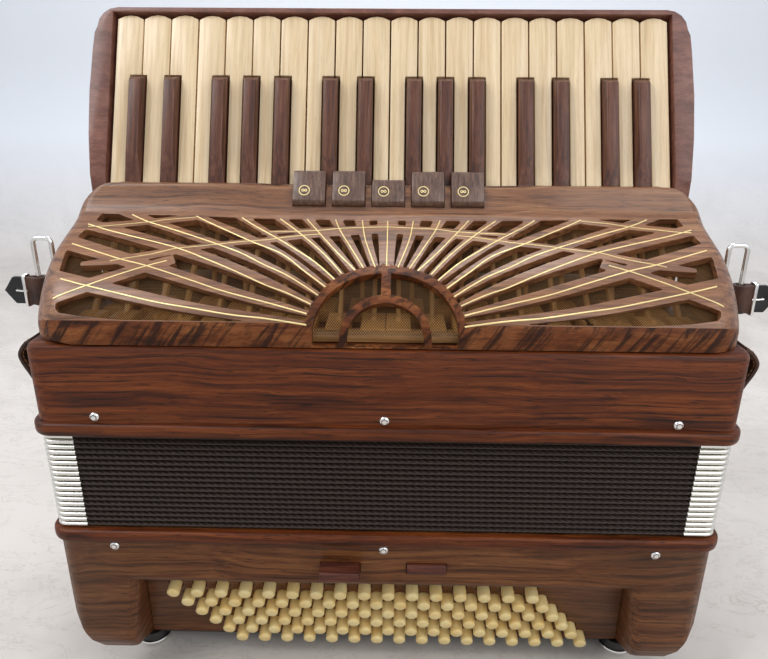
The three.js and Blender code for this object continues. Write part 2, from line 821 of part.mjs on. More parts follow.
// Treble case with its soundboard, the holes under the pallets and the reed blocks
function trebleCase() {
  const ring = (inset, z) => roundedRectangle(
    caseWidth - 2 * inset, caseDepth - 2 * inset, cornerRadius - inset).map(([x, y]) => [x, y, z]);
  const outer = loft([
    ring(0, trebleLow),
    ring(0, trebleTop - trebleTopRound),
    ring(trebleTopRound / 3, trebleTop - trebleTopRound / 3),
    ring(trebleTopRound, trebleTop),
  ]);
  const cavity = prismZ(
    roundedRectangle(caseWidth - 2 * caseWall, caseDepth - 2 * caseWall, cornerRadius - caseWall, boreSteps),
    trebleLow - cutOverrun, trebleTop - soundboardThickness);
  const bead = rimBead(trebleLow, trebleLow + rimHeight);
  const seat = prismZ(roundedRectangle(caseWidth - caseWall, caseDepth - caseWall, cornerRadius),
    trebleLow, trebleLow + rimSeatHeight);
  const mouth = prismZ(
    roundedRectangle(caseWidth - 2 * bellowsBoreInset, caseDepth - 2 * bellowsBoreInset, caseWall, boreSteps),
    trebleLow - cutOverrun, trebleLow + rimSeatHeight + cutOverrun);
  const holes = keyList().map(({ x, palletY }) => block(
    [x - palletHoleWidth / 2, palletY - palletHoleLength / 2, trebleTop - soundboardThickness - cutOverrun],
    [x + palletHoleWidth / 2, palletY + palletHoleLength / 2, trebleTop + cutOverrun]));
  const reedBlocks = Array.from({ length: reedBlockCount }, (_, index) => {
    const y = (index - (reedBlockCount - 1) / 2) * reedBlockPitch;
    return block(
      [-reedBlockHalfLength, y - reedBlockWidth / 2, trebleTop - soundboardThickness - reedBlockHeight],
      [reedBlockHalfLength, y + reedBlockWidth / 2, trebleTop - soundboardThickness + seatGap]);
  });
  return outer.subtract(cavity).add(bead).add(seat).subtract(mouth)
    .subtract(join(holes))
    .add(join(reedBlocks))
    .add(domePins(trebleLow + rimHeight + domePinFromRim));
}

// A prism over (X, Z) mirrored to the asked end; outlines are (distance out from the middle, Z)
function endPrism(side, points, low, high) {
  return prismY(points.map(([out, z]) => [side * out, z]), low, high);
}

function endBlock(side, low, high) {
  const [near, far] = [side * low[0], side * high[0]].sort((a, b) => a - b);
  return block([near, low[1], low[2]], [far, high[1], high[2]]);
}

// A bracket on each end of the treble cover holds a chrome ring between two knuckles
function strapBracket(side) {
  const wall = halfWidth - coverInset;
  const low = coverLow + strapPlateLow;
  const half = strapPlateWidth / 2;
  const plate = endBlock(side, [wall - strapPlateThickness, strapY - half, low],
    [wall + strapPlateThickness, strapY + half, low + strapPlateHeight]);
  const pinX = side * (wall + strapPinOut);
  const lugHalf = knuckleRadius / 2;
  const knuckles = [low, low + knuckleHighRise].map((z) => turned([
    [0, 0], [knuckleRadius, 0], [knuckleRadius, knuckleHeight], [0, knuckleHeight],
  ], axleSides, [0, 0, 1], [pinX, strapY, z]).add(
    endBlock(side, [wall, strapY - lugHalf, z], [wall + strapPinOut, strapY + lugHalf, z + knuckleHeight])));
  const bore = (ringBarRadius + knuckleGap) / Math.cos(Math.PI / axleSides);
  const hole = turned([[0, -cutOverrun], [bore, -cutOverrun], [bore, 4 * cutOverrun], [0, 4 * cutOverrun]],
    axleSides, [0, 0, 1], [pinX, strapY, low]);
  return join([plate, ...knuckles]).subtract(hole);
}

function strapRing(side) {
  const inner = halfWidth - coverInset + strapPinOut;
  const low = coverLow + ringLow;
  const high = low + ringHeight;
  const outer = inner + ringWidth;
  const half = ringWire / 2;
  const quarter = Math.PI / 2;
  const frame = (grow) => [
    [inner - ringBarRadius, low - grow],
    ...arcPoints(outer - ringRound, low + ringRound, ringRound + grow, -quarter, 0, 2),
    ...arcPoints(outer - ringRound, high - ringRound, ringRound + grow, 0, quarter, 2),
    [inner - ringBarRadius, high + grow],
  ];
  const loop = endPrism(side, frame(half), strapY - half, strapY + half)
    .subtract(endPrism(side, frame(-half).map(([out, z]) => [out < inner ? inner - ringWidth : out, z]),
      strapY - ringWire, strapY + ringWire));
  const bar = turned([
    [0, low - half],
    [ringBarRadius, low - half],
    [ringBarRadius, high + half],
    [0, high + half],
  ], axleSides, [0, 0, 1], [side * inner, strapY, 0]);
  return loop.add(bar);
}

// The short strap end hangs on the ring's outer bar and ends in a point past its buckle
function strapEnd(side) {
  const eyeX = halfWidth - coverInset + strapPinOut + ringWidth;
  const low = coverLow + ringLow + strapBandRise + ringWire;
  const high = low + strapBandWidth;
  const bore = (ringWire / 2) * Math.SQRT2 + strapEyeGap;
  const eye = turned([[0, low], [bore + strapThickness, low], [bore + strapThickness, high], [0, high]],
    axleSides, [0, 0, 1], [side * eyeX, strapY, 0]);
  const hole = turned([
    [0, low - cutOverrun],
    [bore, low - cutOverrun],
    [bore, high + cutOverrun],
    [0, high + cutOverrun],
  ], axleSides, [0, 0, 1], [side * eyeX, strapY, 0]);
  const end = eyeX + strapBandLength;
  const band = endPrism(side, [
    [eyeX + bore, low],
    [end - strapPointLength, low],
    [end, (low + high) / 2],
    [end - strapPointLength, high],
    [eyeX + bore, high],
  ], strapY - strapThickness / 2, strapY + strapThickness / 2);
  const buckleX = eyeX + buckleOut;
  const buckle = endBlock(side, [buckleX - buckleWire / 2, strapY - strapThickness, low - buckleWire],
    [buckleX + buckleWire / 2, strapY + strapThickness, high + buckleWire]);
  return join([eye, band, buckle]).subtract(hole);
}

// A leather strap on each end keeps the bellows closed: it bulges out over its stud at the top
function closingStrap(side) {
  const inner = halfWidth + rimProud + seatGap;
  const low = bassRimZ - closingStrapBelow;
  const rim = trebleLow + rimHeight;
  const thick = closingStrapThickness;
  const bulge = inner + closingStrapBulge;
  const half = closingStrapWidth / 2;
  const top = rim + closingStrapTopRise;
  const middle = rim + closingStrapBulgeRise;
  const quarterRise = (top - middle) / 2;
  const bandPoints = [
    [inner, low],
    [inner + thick, low],
    [inner + thick, rim + closingStrapStraightAbove],
    [bulge + thick, middle - quarterRise],
    [bulge + thick, middle],
    [inner + thick, top],
    [inner, top - thick],
    [bulge, middle - quarterRise / 2],
    [bulge, middle - quarterRise],
    [inner, rim + closingStrapStraightAbove + thick],
  ];
  const band = endPrism(side, bandPoints, closingStrapY - half, closingStrapY + half);
  const studs = [low + closingStrapWidth / 2, middle - quarterRise / 2].map((z, index) => turned([
    [0, -thick / 2], [closingStudRadius, -thick / 2], [closingStudRadius, closingStudProud / 2],
    [closingStudRadius / 2, closingStudProud], [0, closingStudProud],
  ], axleSides, [side, 0, 0], [side * ((index === 0 ? inner : bulge) + thick), closingStrapY, z]));
  return join([band, ...studs]);
}

// Treble cover
function crownPoint([across, up]) {
  return [-halfDepth + across * coverLipSetback, coverLow + up * coverHeight];
}

function crownInset(inset) {
  const points = crownShares.map(crownPoint);
  return points.map(([y, z], index) => {
    const before = points[Math.max(index - 1, 0)];
    const after = points[Math.min(index + 1, points.length - 1)];
    const along = new THREE.Vector2(after[0] - before[0], after[1] - before[1]).normalize();
    const insetY = Math.min(y + along.y * inset, coverBackY - seatGap);
    return [insetY, Math.max(z - along.x * inset, coverLow + (index === 0 ? 0 : seatGap * index / 2))];
  });
}

function coverSection(inset, x, low, back) {
  const crown = crownInset(inset);
  crown[0][1] = low;
  const top = crown[crown.length - 1];
  return [...crown, [back, top[1]], [back, low]].map(([y, z]) => [x, y, z]);
}

function coverBody(inset, endInset, low, back) {
  const half = halfWidth - coverInset - endInset;
  const round = coverEndRound - inset;
  const rings = [];
  for (let step = 0; step <= roundSteps; step += 1) {
    const angle = Math.PI / 2 * step / roundSteps;
    const shrink = inset + round * (1 - Math.sin(angle));
    rings.push(coverSection(shrink, half - round * (1 - Math.cos(angle)), low, back));
  }
  const mirrored = rings.map((ring) => ring.map(([x, y, z]) => [-x, y, z])).reverse();
  return loft([...rings, ...mirrored].reverse());
}

// Fretwork plane: (X, w) with w up the slope, cut square to that plane
function fretPrism(points) {
  const geometry = extruded(points, 2 * fretCutDepth);
  const up = new THREE.Vector3(0, Math.sin(fretTilt), Math.cos(fretTilt));
  const out = new THREE.Vector3(0, -Math.cos(fretTilt), Math.sin(fretTilt));
  geometry.applyMatrix4(new THREE.Matrix4().makeBasis(new THREE.Vector3(1, 0, 0), up, out));
  const lift = coverLow * Math.sin(fretTilt) + halfDepth * Math.cos(fretTilt) - fretCutDepth;
  geometry.translate(0, out.y * lift, out.z * lift);
  return toSolid(geometry);
}

function fretSpot([acrossShare, upShare]) {
  return [acrossShare * fretHalfWidth, fretLow + upShare * (fretHigh - fretLow)];
}

// A rib follows its spots and is as wide at each of them as asked
function ribPoints(spots, widths) {
  const sides = spots.map((spot, index) => {
    const before = spots[Math.max(index - 1, 0)];
    const after = spots[Math.min(index + 1, spots.length - 1)];
    const along = new THREE.Vector2(after[0] - before[0], after[1] - before[1]).normalize();
    const half = widths[index] / 2;
    return [
      [spot[0] - along.y * half, spot[1] + along.x * half],
      [spot[0] + along.y * half, spot[1] - along.x * half],
    ];
  });
  return [...sides.map(([upper]) => upper), ...sides.map(([, lower]) => lower).reverse()];
}

function mirrorSpots(spots, side) {
  return spots.map(([x, w]) => [side * x, w]);
}

// Half an ellipse that stands on the base of the arches, lengthened downwards by a drop
function archPoints(halfWidthOfArch, heightOfArch, drop) {
  return [
    [halfWidthOfArch, archBase - drop],
    ...ellipsePoints(0, archBase, halfWidthOfArch, heightOfArch, 0, Math.PI, archSteps),
    [-halfWidthOfArch, archBase - drop],
  ];
}

function fretRibs() {
  const rays = raySpotShares.map((shares, index) => (
    [shares.map(fretSpot), rayWidthShares[index].map((share) => share * rayWidth)]));
  const crosses = crossRibShares.map((shares, index) => (
    [shares.map(fretSpot), crossRibWidthShares[index].map((share) => share * crossRibWidth)]));
  return join([...rays, ...crosses].flatMap(([spots, widths]) => (
    [-1, 1].map((side) => fretPrism(ribPoints(mirrorSpots(spots, side), widths))))));
}

// The openings: a sunburst of rays outside the arch, and an archway with a small arch and a bar in it
function fretOpenings() {
  const right = fretEdgeShares.map(fretSpot);
  const left = mirrorSpots(right.slice(0, -1), -1).reverse();
  const sunburst = fretPrism([...right, ...left])
    .subtract(fretPrism(archPoints(archHalfWidth, archHeight, cutOverrun)))
    .subtract(fretRibs());
  const smallHalf = innerArchHalfWidth - innerArchSideBand;
  const smallHeight = innerArchHeight - innerArchTopBand;
  const smallArch = fretPrism(archPoints(innerArchHalfWidth, innerArchHeight, cutOverrun))
    .subtract(fretPrism(archPoints(smallHalf, smallHeight, 2 * cutOverrun)));
  const bar = fretPrism([
    [-archBarWidth / 2, archBase + innerArchHeight - innerArchTopBand / 2],
    [archBarWidth / 2, archBase + innerArchHeight - innerArchTopBand / 2],
    [archBarWidth / 2, archBase + archHeight],
    [-archBarWidth / 2, archBase + archHeight],
  ]);
  const archway = fretPrism(archPoints(archHalfWidth - archSideBand, archHeight - archTopBand, 0))
    .subtract(smallArch).subtract(bar);
  return sunburst.add(archway);
}

function registerX(index) {
  return (index - (registerCount - 1) / 2) * registerPitch;
}

function registerSlots() {
  const half = registerWidth / 2 + registerSideGap;
  return join(Array.from({ length: registerCount }, (_, index) => {
    const x = registerX(index);
    const slot = keyPlate([
      [x - half, registerSlotLow], [x + half, registerSlotLow],
      [x + half, cutOverrun * 2], [x - half, cutOverrun * 2],
    ], -cutOverrun * 2, 0);
    const pocket = keyPlate([
      [x - half, registerSlotLow - registerPocketDepth], [x + half, registerSlotLow - registerPocketDepth],
      [x + half, cutOverrun], [x - half, cutOverrun],
    ], -registerTongueProud - registerSideGap, 0);
    return slot.add(pocket);
  }));
}

function trebleCover() {
  const outer = coverBody(0, 0, coverLow + seatGap, coverBackY);
  const inner = coverBody(coverWall, coverEndWall, coverLow - cutOverrun, coverBackY + cutOverrun);
  const keyWell = keyPlate([
    [-keyboardHalf - cheekGap, -4 * cutOverrun], [keyboardHalf + cheekGap, -4 * cutOverrun],
    [keyboardHalf + cheekGap, 4 * cutOverrun], [-keyboardHalf - cheekGap, 4 * cutOverrun],
  ], -coverLipGap, 4 * cutOverrun);
  const wellFloor = block(
    [-keyboardHalf - cheekGap, coverBackY - 2 * cutOverrun, coverLow - cutOverrun],
    [keyboardHalf + cheekGap, coverBackY + cutOverrun, coverLow + coverHeight / 2]);
  const openings = fretOpenings();
  return outer.subtract(inner).subtract(keyWell).subtract(wellFloor)
    .subtract(openings).subtract(registerSlots())
    .add(strapBracket(-1)).add(strapBracket(1));
}

function grilleMesh() {
  const near = coverWall + meshGap;
  const far = near + meshThickness;
  const nearEnd = coverEndWall + meshGap;
  const farEnd = nearEnd + meshThickness;
  const back = coverBackY + cutOverrun;
  const sheet = coverBody(near, nearEnd, coverLow - cutOverrun, back)
    .subtract(coverBody(far, farEnd, coverLow - 2 * cutOverrun, back + cutOverrun));
  const [, low] = crownPoint([0, meshLowShare]);
  const [backY, high] = crownPoint([meshBackShare, meshHighShare]);
  return sheet.intersect(block([-caseWidth, -caseDepth, low], [caseWidth, backY, high]));
}

// Keys: the places of the black keys follow the pattern of a keyboard read from high to low
const octavePattern = [0, 1, 1, 0, 1, 1, 1];
const octaveSide = [0, -1, 1, 0, -1, 0, 1];

function boundaryHasBlack(boundary) {
  return boundary > 0 && boundary < whiteCount && octavePattern[boundary % octavePattern.length] === 1;
}

function blackX(boundary) {
  return -keyboardHalf + boundary * whitePitch + blackSideShift * octaveSide[boundary % octaveSide.length];
}

function keyList() {
  const keys = [];
  for (let white = 0; white < whiteCount; white += 1) {
    const x = -keyboardHalf + (white + 0.5) * whitePitch;
    keys.push({ kind: 'white', index: white, x, palletY: -halfDepth + whitePalletSetback });
  }
  for (let boundary = 1; boundary < whiteCount; boundary += 1) {
    if (boundaryHasBlack(boundary)) {
      const x = blackX(boundary);
      keys.push({ kind: 'black', index: boundary, x, palletY: -halfDepth + blackPalletSetback });
    }
  }
  return keys;
}

function axleHole(low, high) {
  const radius = (axleRadius + axleRunningGap) / Math.cos(Math.PI / axleSides);
  return axleRod(radius, low, high);
}

function axleRod(radius, low, high) {
  const [y, z] = keyPoint(axleS, axleT);
  return turned([[0, low], [radius, low], [radius, high], [0, high]], axleSides, [1, 0, 0], [0, y, z]);
}

// The arm runs from the key's tail down to its pallet on the soundboard
function armAndPallet(x, palletY, kneeY, kneeRise) {
  const floor = trebleTop + seatGap;
  const armZ = floor + palletHeight;
  const half = armThickness / 2;
  const path = [
    keyPoint(armRootS, axleT), [kneeY, trebleTop + kneeRise],
    [palletY + palletLength * armReachShare, armZ], [palletY, armZ],
  ];
  const normals = path.map((point, index) => {
    const before = path[Math.max(index - 1, 0)];
    const after = path[Math.min(index + 1, path.length - 1)];
    return new THREE.Vector2(before[1] - after[1], after[0] - before[0]).normalize().multiplyScalar(half);
  });
  const upper = path.map(([y, z], index) => [y + normals[index].x, z + normals[index].y]);
  const lower = path.map(([y, z], index) => [y - normals[index].x, z - normals[index].y]).reverse();
  const arm = prismX([...upper, ...lower], x - armWidth / 2, x + armWidth / 2);
  const pallet = block(
    [x - palletWidth / 2, palletY - palletLength / 2, floor],
    [x + palletWidth / 2, palletY + palletLength / 2, floor + palletHeight]);
  return arm.add(pallet);
}

function whiteKey({ index, x, palletY }) {
  const left = -keyboardHalf + index * whitePitch + keyGap / 2;
  const right = left + whitePitch - keyGap;
  const blackClear = blackWidth / 2 + blackSideGap;
  const tailLeft = boundaryHasBlack(index) ? Math.max(left, blackX(index) + blackClear) : left;
  const tailRight = boundaryHasBlack(index + 1) ? Math.min(right, blackX(index + 1) - blackClear) : right;
  const shoulder = blackLength + blackSideGap;
  const mid = (left + right) / 2;
  const quarter = (right - left) / 4;
  const body = keyPlate([
    [tailLeft, -tailLength], [tailRight, -tailLength], [tailRight, shoulder],
    ...(tailRight < right ? [[right, shoulder]] : []),
    [right, whiteLength - whiteEndRound],
    [mid + quarter, whiteLength - whiteEndRound / 4],
    [mid, whiteLength],
    [mid - quarter, whiteLength - whiteEndRound / 4],
    [left, whiteLength - whiteEndRound],
    ...(tailLeft > left ? [[left, shoulder]] : []),
    [tailLeft, shoulder],
  ], 0, whiteThickness);
  const armX = Math.min(Math.max(x, tailLeft + armWidth), tailRight - armWidth);
  return body.add(armAndPallet(armX, palletY, -halfDepth + whiteArmKneeSetback, whiteArmKneeRise))
    .subtract(axleHole(tailLeft - keyGap, tailRight + keyGap));
}

function blackKey({ x, palletY }) {
  const half = blackWidth / 2;
  const side = prismX(keyProfile([
    [-tailLength, blackThickness],
    [blackLength, blackThickness],
    [blackLength, 0],
    [blackLength - blackNoseSlope, -blackHeight],
    [blackRampLength, -blackHeight],
    [-blackRampLength / 4, -blackRampHeight],
    [-tailLength, -blackRampHeight / 2],
  ]), x - half, x + half);
  const bevel = (blackWidth - blackTopWidth) / 2;
  const front = loft([-tailLength - cutOverrun, blackLength + cutOverrun].map((s) => [
    [x - half - seatGap, blackThickness + cutOverrun],
    [x - half - seatGap, -blackRampHeight],
    [x - half + bevel, -blackHeight - seatGap],
    [x + half - bevel, -blackHeight - seatGap],
    [x + half + seatGap, -blackRampHeight],
    [x + half + seatGap, blackThickness + cutOverrun],
  ].map(([px, t]) => [px, ...keyPoint(s, t)])));
  return side.intersect(front)
    .add(armAndPallet(x, palletY, -halfDepth + blackArmKneeSetback, blackArmKneeRise))
    .subtract(axleHole(x - half - keyGap, x + half + keyGap));
}

function keyAxle() {
  const reach = keyboardHalf + cheekGap + cheekWidth / 2;
  return axleRod(axleRadius, -reach, reach);
}

// Keyboard frame: two cheeks, a back panel, a top rail and the housing behind the keys
function frameSideProfile() {
  const front = coverBackY + seatGap;
  const meet = keyPoint(housingMeetLength, frameDepth);
  const topBack = keyPoint(frameTopS, frameDepth);
  const topFront = keyPoint(frameTopS, -cheekProud);
  const frontS = (front - keyPoint(0, -cheekProud)[0]) / Math.sin(keyLean);
  return [
    [front, trebleTop + seatGap],
    [halfDepth, trebleTop + seatGap],
    [halfDepth, trebleTop + housingBackRise],
    [halfDepth - housingShoulderDrop, trebleTop + housingShoulderRise],
    meet,
    topBack,
    topFront,
    keyPoint(frontS, -cheekProud),
  ];
}

function frameOutline() {
  const low = -4 * cutOverrun - frameTopS;
  const quarter = Math.PI / 2;
  const bow = (s) => frameHalf - frameBowWidth * (2 * s / frameTopS - 1) ** 2;
  const rise = frameBowShares.map((share) => [bow(share * frameTopS), share * frameTopS]);
  const corner = bow(frameTopS) - frameCornerRadius;
  const right = [
    [bow(0), low],
    ...rise,
    ...arcPoints(corner, frameTopS - frameCornerRadius, frameCornerRadius, 0, quarter, roundSteps),
  ];
  const left = right.map(([x, s]) => [-x, s]).reverse();
  return [...right, ...left];
}

function keyboardFrame() {
  const full = prismX(frameSideProfile(), -frameHalf, frameHalf);
  const trimmed = full.intersect(keyPlate(frameOutline(), -6 * cutOverrun, 12 * cutOverrun));
  const wellHalf = keyboardHalf + cheekGap;
  const well = keyPlate([
    [-wellHalf, -tailLength - 6 * cutOverrun], [wellHalf, -tailLength - 6 * cutOverrun],
    [wellHalf, whiteLength + frameEndGap], [-wellHalf, whiteLength + frameEndGap],
  ], -4 * cutOverrun, frameDepth - framePanelThickness);
  const hollow = prismX([
    [coverBackY - cutOverrun, trebleTop - cutOverrun],
    [halfDepth - caseWall, trebleTop - cutOverrun],
    [halfDepth - caseWall, trebleTop + housingBackRise],
    [halfDepth - housingShoulderDrop - caseWall, trebleTop + housingShoulderRise - caseWall / 2],
    keyPoint(0, frameDepth - framePanelThickness),
    keyPoint(-tailLength, whiteThickness + caseWall),
    [coverBackY - cutOverrun, trebleTop + housingShoulderRise],
  ], -wellHalf, wellHalf);
  return trimmed.subtract(well).subtract(hollow)
    .subtract(axleHole(-wellHalf - cheekWidth / 2 - seatGap, wellHalf + cheekWidth / 2 + seatGap));
}

function trebleRegister(index) {
  const x = registerX(index);
  const half = registerWidth / 2;
  const body = prismX(keyProfile([
    [registerTongueLow, -registerBack],
    [registerTop, -registerBack],
    [registerTop, -registerFaceHighProud + registerBevel / 2],
    [registerTop - registerBevel / 2, -registerFaceHighProud],
    [registerFaceLow + registerBevel, -registerFaceLowProud],
    [registerFaceLow, -registerFaceLowProud + registerBevel],
    [registerFaceLow, -registerTongueProud],
    [registerTongueLow, -registerTongueProud],
  ]), x - half, x + half);
  return body;
}

// Assembly
const accordion = new THREE.Group();

function place(name, solid, colour, roughness, metalness = 0) {
  const material = new THREE.MeshStandardMaterial({ color: colour, roughness, metalness });
  const mesh = new THREE.Mesh(toGeometry(solid), material);
  mesh.name = name;
  accordion.add(mesh);
  return mesh;
}

place('bass_case', bassCase(), walnut, 0.35);
place('bass_button_board', bassButtonBoard(), walnut, 0.4);
place('bass_note_buttons', bassButtons(0, bassNoteRows), ivory, 0.3);
place('chord_buttons', bassButtons(bassNoteRows, buttonRows - bassNoteRows), ivory, 0.3);
place('bass_register_1', bassRegister(-bassRegisterX, bassRegisterProud), walnutDark, 0.35);
const pressedProud = bassRegisterProud - bassRegisterTravel;
place('bass_register_2', bassRegister(bassRegisterX, pressedProud), walnutDark, 0.35);
place('air_button', airButton(), steel, 0.2, 1);
place('bass_hand_strap', handStrap(), leatherBrown, 0.6);
place('bass_bottom_plate', bottomPlate(), blackRubber, 0.5);
place('closing_strap_left', closingStrap(-1), leatherBrown, 0.6);
place('closing_strap_right', closingStrap(1), leatherBrown, 0.6);
place('bellows', bellows(), bellowsBrown, 0.7);
place('treble_case', trebleCase(), walnut, 0.35);
place('treble_cover', trebleCover(), walnut, 0.35);
place('grille_mesh', grilleMesh(), brassMesh, 0.5, 0.6);
place('keyboard_frame', keyboardFrame(), walnutDark, 0.4);
place('key_axle', keyAxle(), steel, 0.3, 1);
for (let index = 0; index < registerCount; index += 1) {
  const pressed = index === (registerCount - 1) / 2;
  const mesh = place(`treble_register_${index + 1}`, trebleRegister(index), walnutDark, 0.35);
  if (pressed) {
    mesh.position.set(0, -registerTravel * Math.sin(keyLean), -registerTravel * Math.cos(keyLean));
  }
}
place('strap_ring_left', strapRing(-1), steel, 0.2, 1);
place('strap_ring_right', strapRing(1), steel, 0.2, 1);
place('strap_end_left', strapEnd(-1), leatherBrown, 0.6);
place('strap_end_right', strapEnd(1), leatherBrown, 0.6);
let blackNumber = 0;
for (const key of keyList()) {
  if (key.kind === 'white') {
    place(`white_key_${String(key.index + 1).padStart(2, '0')}`, whiteKey(key), maple, 0.45);
  } else {
    blackNumber += 1;
    place(`black_key_${String(blackNumber).padStart(2, '0')}`, blackKey(key), walnutDark, 0.45);
  }
}

// The front-most piece is the raised bass register and the rear-most is the bead of the rims
accordion.position.y = (bassRegisterProud - rimProud) / 2;

export default accordion;
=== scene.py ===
"""Looks of a walnut piano accordion. Lengths are in millimetres until a mesh is made."""

import math

import bmesh
import bpy
import numpy as np
from mathutils import Matrix, Vector
from mathutils.geometry import delaunay_2d_cdt


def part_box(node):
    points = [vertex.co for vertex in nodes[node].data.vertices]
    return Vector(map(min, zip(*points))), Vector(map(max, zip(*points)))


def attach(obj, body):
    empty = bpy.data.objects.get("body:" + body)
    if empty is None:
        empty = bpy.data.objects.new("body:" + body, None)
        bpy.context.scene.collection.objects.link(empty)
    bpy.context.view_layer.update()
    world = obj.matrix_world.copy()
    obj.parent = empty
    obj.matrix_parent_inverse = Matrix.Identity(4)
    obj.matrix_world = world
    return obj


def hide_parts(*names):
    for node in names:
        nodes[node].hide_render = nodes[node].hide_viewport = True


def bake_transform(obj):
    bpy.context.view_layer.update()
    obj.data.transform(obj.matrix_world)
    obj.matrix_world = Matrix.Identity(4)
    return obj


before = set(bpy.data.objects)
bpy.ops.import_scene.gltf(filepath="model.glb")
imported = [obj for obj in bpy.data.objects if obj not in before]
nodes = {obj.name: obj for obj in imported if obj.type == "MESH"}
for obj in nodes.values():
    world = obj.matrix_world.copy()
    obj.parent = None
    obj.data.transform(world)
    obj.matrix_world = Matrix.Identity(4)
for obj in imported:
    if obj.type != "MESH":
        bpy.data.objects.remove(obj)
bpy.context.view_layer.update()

MM = 0.001

# Case: the middle of its depth is zero in the sizes below, and the frame says where that lies
RIM_PROUD = 3
CASE_LOW, CASE_HIGH = (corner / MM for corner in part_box("treble_case"))
HALF_WIDTH = (CASE_HIGH.x - CASE_LOW.x) / 2 - RIM_PROUD
HALF_DEPTH = (CASE_HIGH.y - CASE_LOW.y) / 2 - RIM_PROUD
MIDDLE_Y = (CASE_HIGH.y + CASE_LOW.y) / 2
BELLOWS_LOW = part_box("bellows")[0].z / MM
BELLOWS_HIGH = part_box("bellows")[1].z / MM
BASS_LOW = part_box("bass_case")[0].z / MM
COVER_LOW = CASE_HIGH.z
RIM_HEIGHT = 8.5
SEAT_GAP = 0.3

# Cover over the treble side; its crown is in shares of its depth and height from the front edge
COVER_HEIGHT = 82.7
COVER_TOP = COVER_LOW + COVER_HEIGHT
KEY_SETBACK = 107.5
KEY_RISE = 1.7
KEY_LEAN = math.radians(24)
KEY_PITCH = 19.5
KEY_BASE = (-HALF_DEPTH + KEY_SETBACK, COVER_TOP + KEY_RISE)
COVER_DEPTH = KEY_SETBACK - 19.5
COVER_BACK = KEY_BASE[0] - 2.5
COVER_HALF = HALF_WIDTH - 2.5
COVER_END_ROUND = 25
COVER_END_ROUND_TOP = 9
END_ROUND_SPAN = (8, 75)
COVER_CORNER_CUT = 24
COVER_WALL = 4.5
LEDGE_SETBACK, LEDGE_INSET, LEDGE_DEPTH, LEDGE_HEIGHT = 12, 20, 8, 7
GAUZE_INSET, GAUZE_GAP, GAUZE_THICKNESS, THREAD_PITCH = 7, 0.4, 0.4, 1.5
CROWN_SHARES = [
    (0.028, 0), (0.026, 0.06), (0.03, 0.133), (0.057, 0.218), (0.125, 0.308), (0.216, 0.393),
    (0.33, 0.469), (0.466, 0.538), (0.625, 0.611), (0.807, 0.689), (0.943, 0.75), (1.011, 0.804),
    (1.051, 0.871), (1.08, 0.937), (1.114, 1), (1.193, 1),
]

# Fretwork: (X, w), with w up a plane that leans like the crown; shares are of the window's size
FRET_TILT = math.radians(50)
FRET_HALF = COVER_HALF - 7.5
FRET_BASE = COVER_LOW * math.cos(FRET_TILT) - HALF_DEPTH * math.sin(FRET_TILT)
FRET_LOW = FRET_BASE + 6
FRET_TOP_SHARES = (1.011, 0.804)
FRET_HIGH = (
    (-HALF_DEPTH + FRET_TOP_SHARES[0] * COVER_DEPTH) * math.sin(FRET_TILT)
    + (COVER_LOW + FRET_TOP_SHARES[1] * COVER_HEIGHT) * math.cos(FRET_TILT)
    - 3.9
)
ARCH_BASE = FRET_BASE + 2.5
ARCH_HALF, ARCH_HEIGHT = 47.5, 52.2
ARCH_SIDE_BAND, ARCH_TOP_BAND = 4.5, 7.3
SMALL_HALF, SMALL_HEIGHT = 27.3, 28.3
SMALL_SIDE_BAND, SMALL_TOP_BAND = 4.6, 5.9
ARCH_BAR = 6
ARCH_STEPS = 40
ARCH_DROP = 3
SMALLEST_OPENING = 6
OPENING_ROUND, OPENING_STEP, OPENING_EASE = 1.6, 3.5, 0.45
POINT_CLEARANCE = 1.5
CDT_EPSILON = 1e-5
EDGE_SHARES = [
    (0.3, 0.07), (0.75, 0.07), (0.86, 0.085), (0.932, 0.105), (0.942, 0.13), (0.966, 0.405),
    (0.98, 0.565), (0.976, 0.72), (0.951, 0.92), (0.942, 0.995), (0.7, 0.985), (0.4, 0.96), (0, 0.95),
]
BAND_TOP = FRET_LOW + EDGE_SHARES[0][1] * (FRET_HIGH - FRET_LOW) - 0.6
RAY_SHARES = [
    [(0.217, 0.057), (0.58, 0.155), (1.02, 0.371)],
    [(0.2135, 0.114), (0.515, 0.3), (1.03, 0.707)],
    [(0.204, 0.173), (0.565, 0.555), (1.03, 0.931)],
    [(0.187, 0.233), (0.445, 0.58), (0.9, 1.053)],
    [(0.165, 0.282), (0.36, 0.65), (0.68, 1.049)],
    [(0.143, 0.33), (0.31, 0.675), (0.515, 1.043)],
    [(0.121, 0.365), (0.235, 0.7), (0.385, 1.039)],
    [(0.09, 0.404), (0.175, 0.69), (0.285, 1.04)],
    [(0.063, 0.425), (0.115, 0.69), (0.187, 1.045)],
    [(0.032, 0.44), (0.06, 0.69), (0.092, 1.04)],
    [(0, 0.445), (0, 0.69), (0, 1.04)],
]
RAY_WIDTH = 10
RAY_WIDTH_SHARES = [
    (0.35, 0.75, 1.2), (0.32, 0.85, 1.4), (0.3, 1, 1.1), (0.3, 0.75, 0.8), (0.3, 0.55, 0.65),
    (0.32, 0.5, 0.7), (0.35, 0.5, 0.7), (0.45, 0.55, 0.73), (0.45, 0.6, 0.9), (0.48, 0.7, 1.1),
    (0.85, 1.1, 1.6),
]
CROSS_WIDTH = 7
CROSS_SHARES = [
    [(0.99, 0.186), (0.87, 0.287), (0.64, 0.52)],
    [(0.915, 0.465), (0.8, 0.51), (0.65, 0.6), (0.54, 0.665), (0.37, 0.725), (0.21, 0.79), (0, 0.84)],
    [(1, 0.84), (0.78, 0.91), (0.6, 0.985)],
    [(0.4, 0.8), (0.14, 0.86), (0, 0.885)],
]
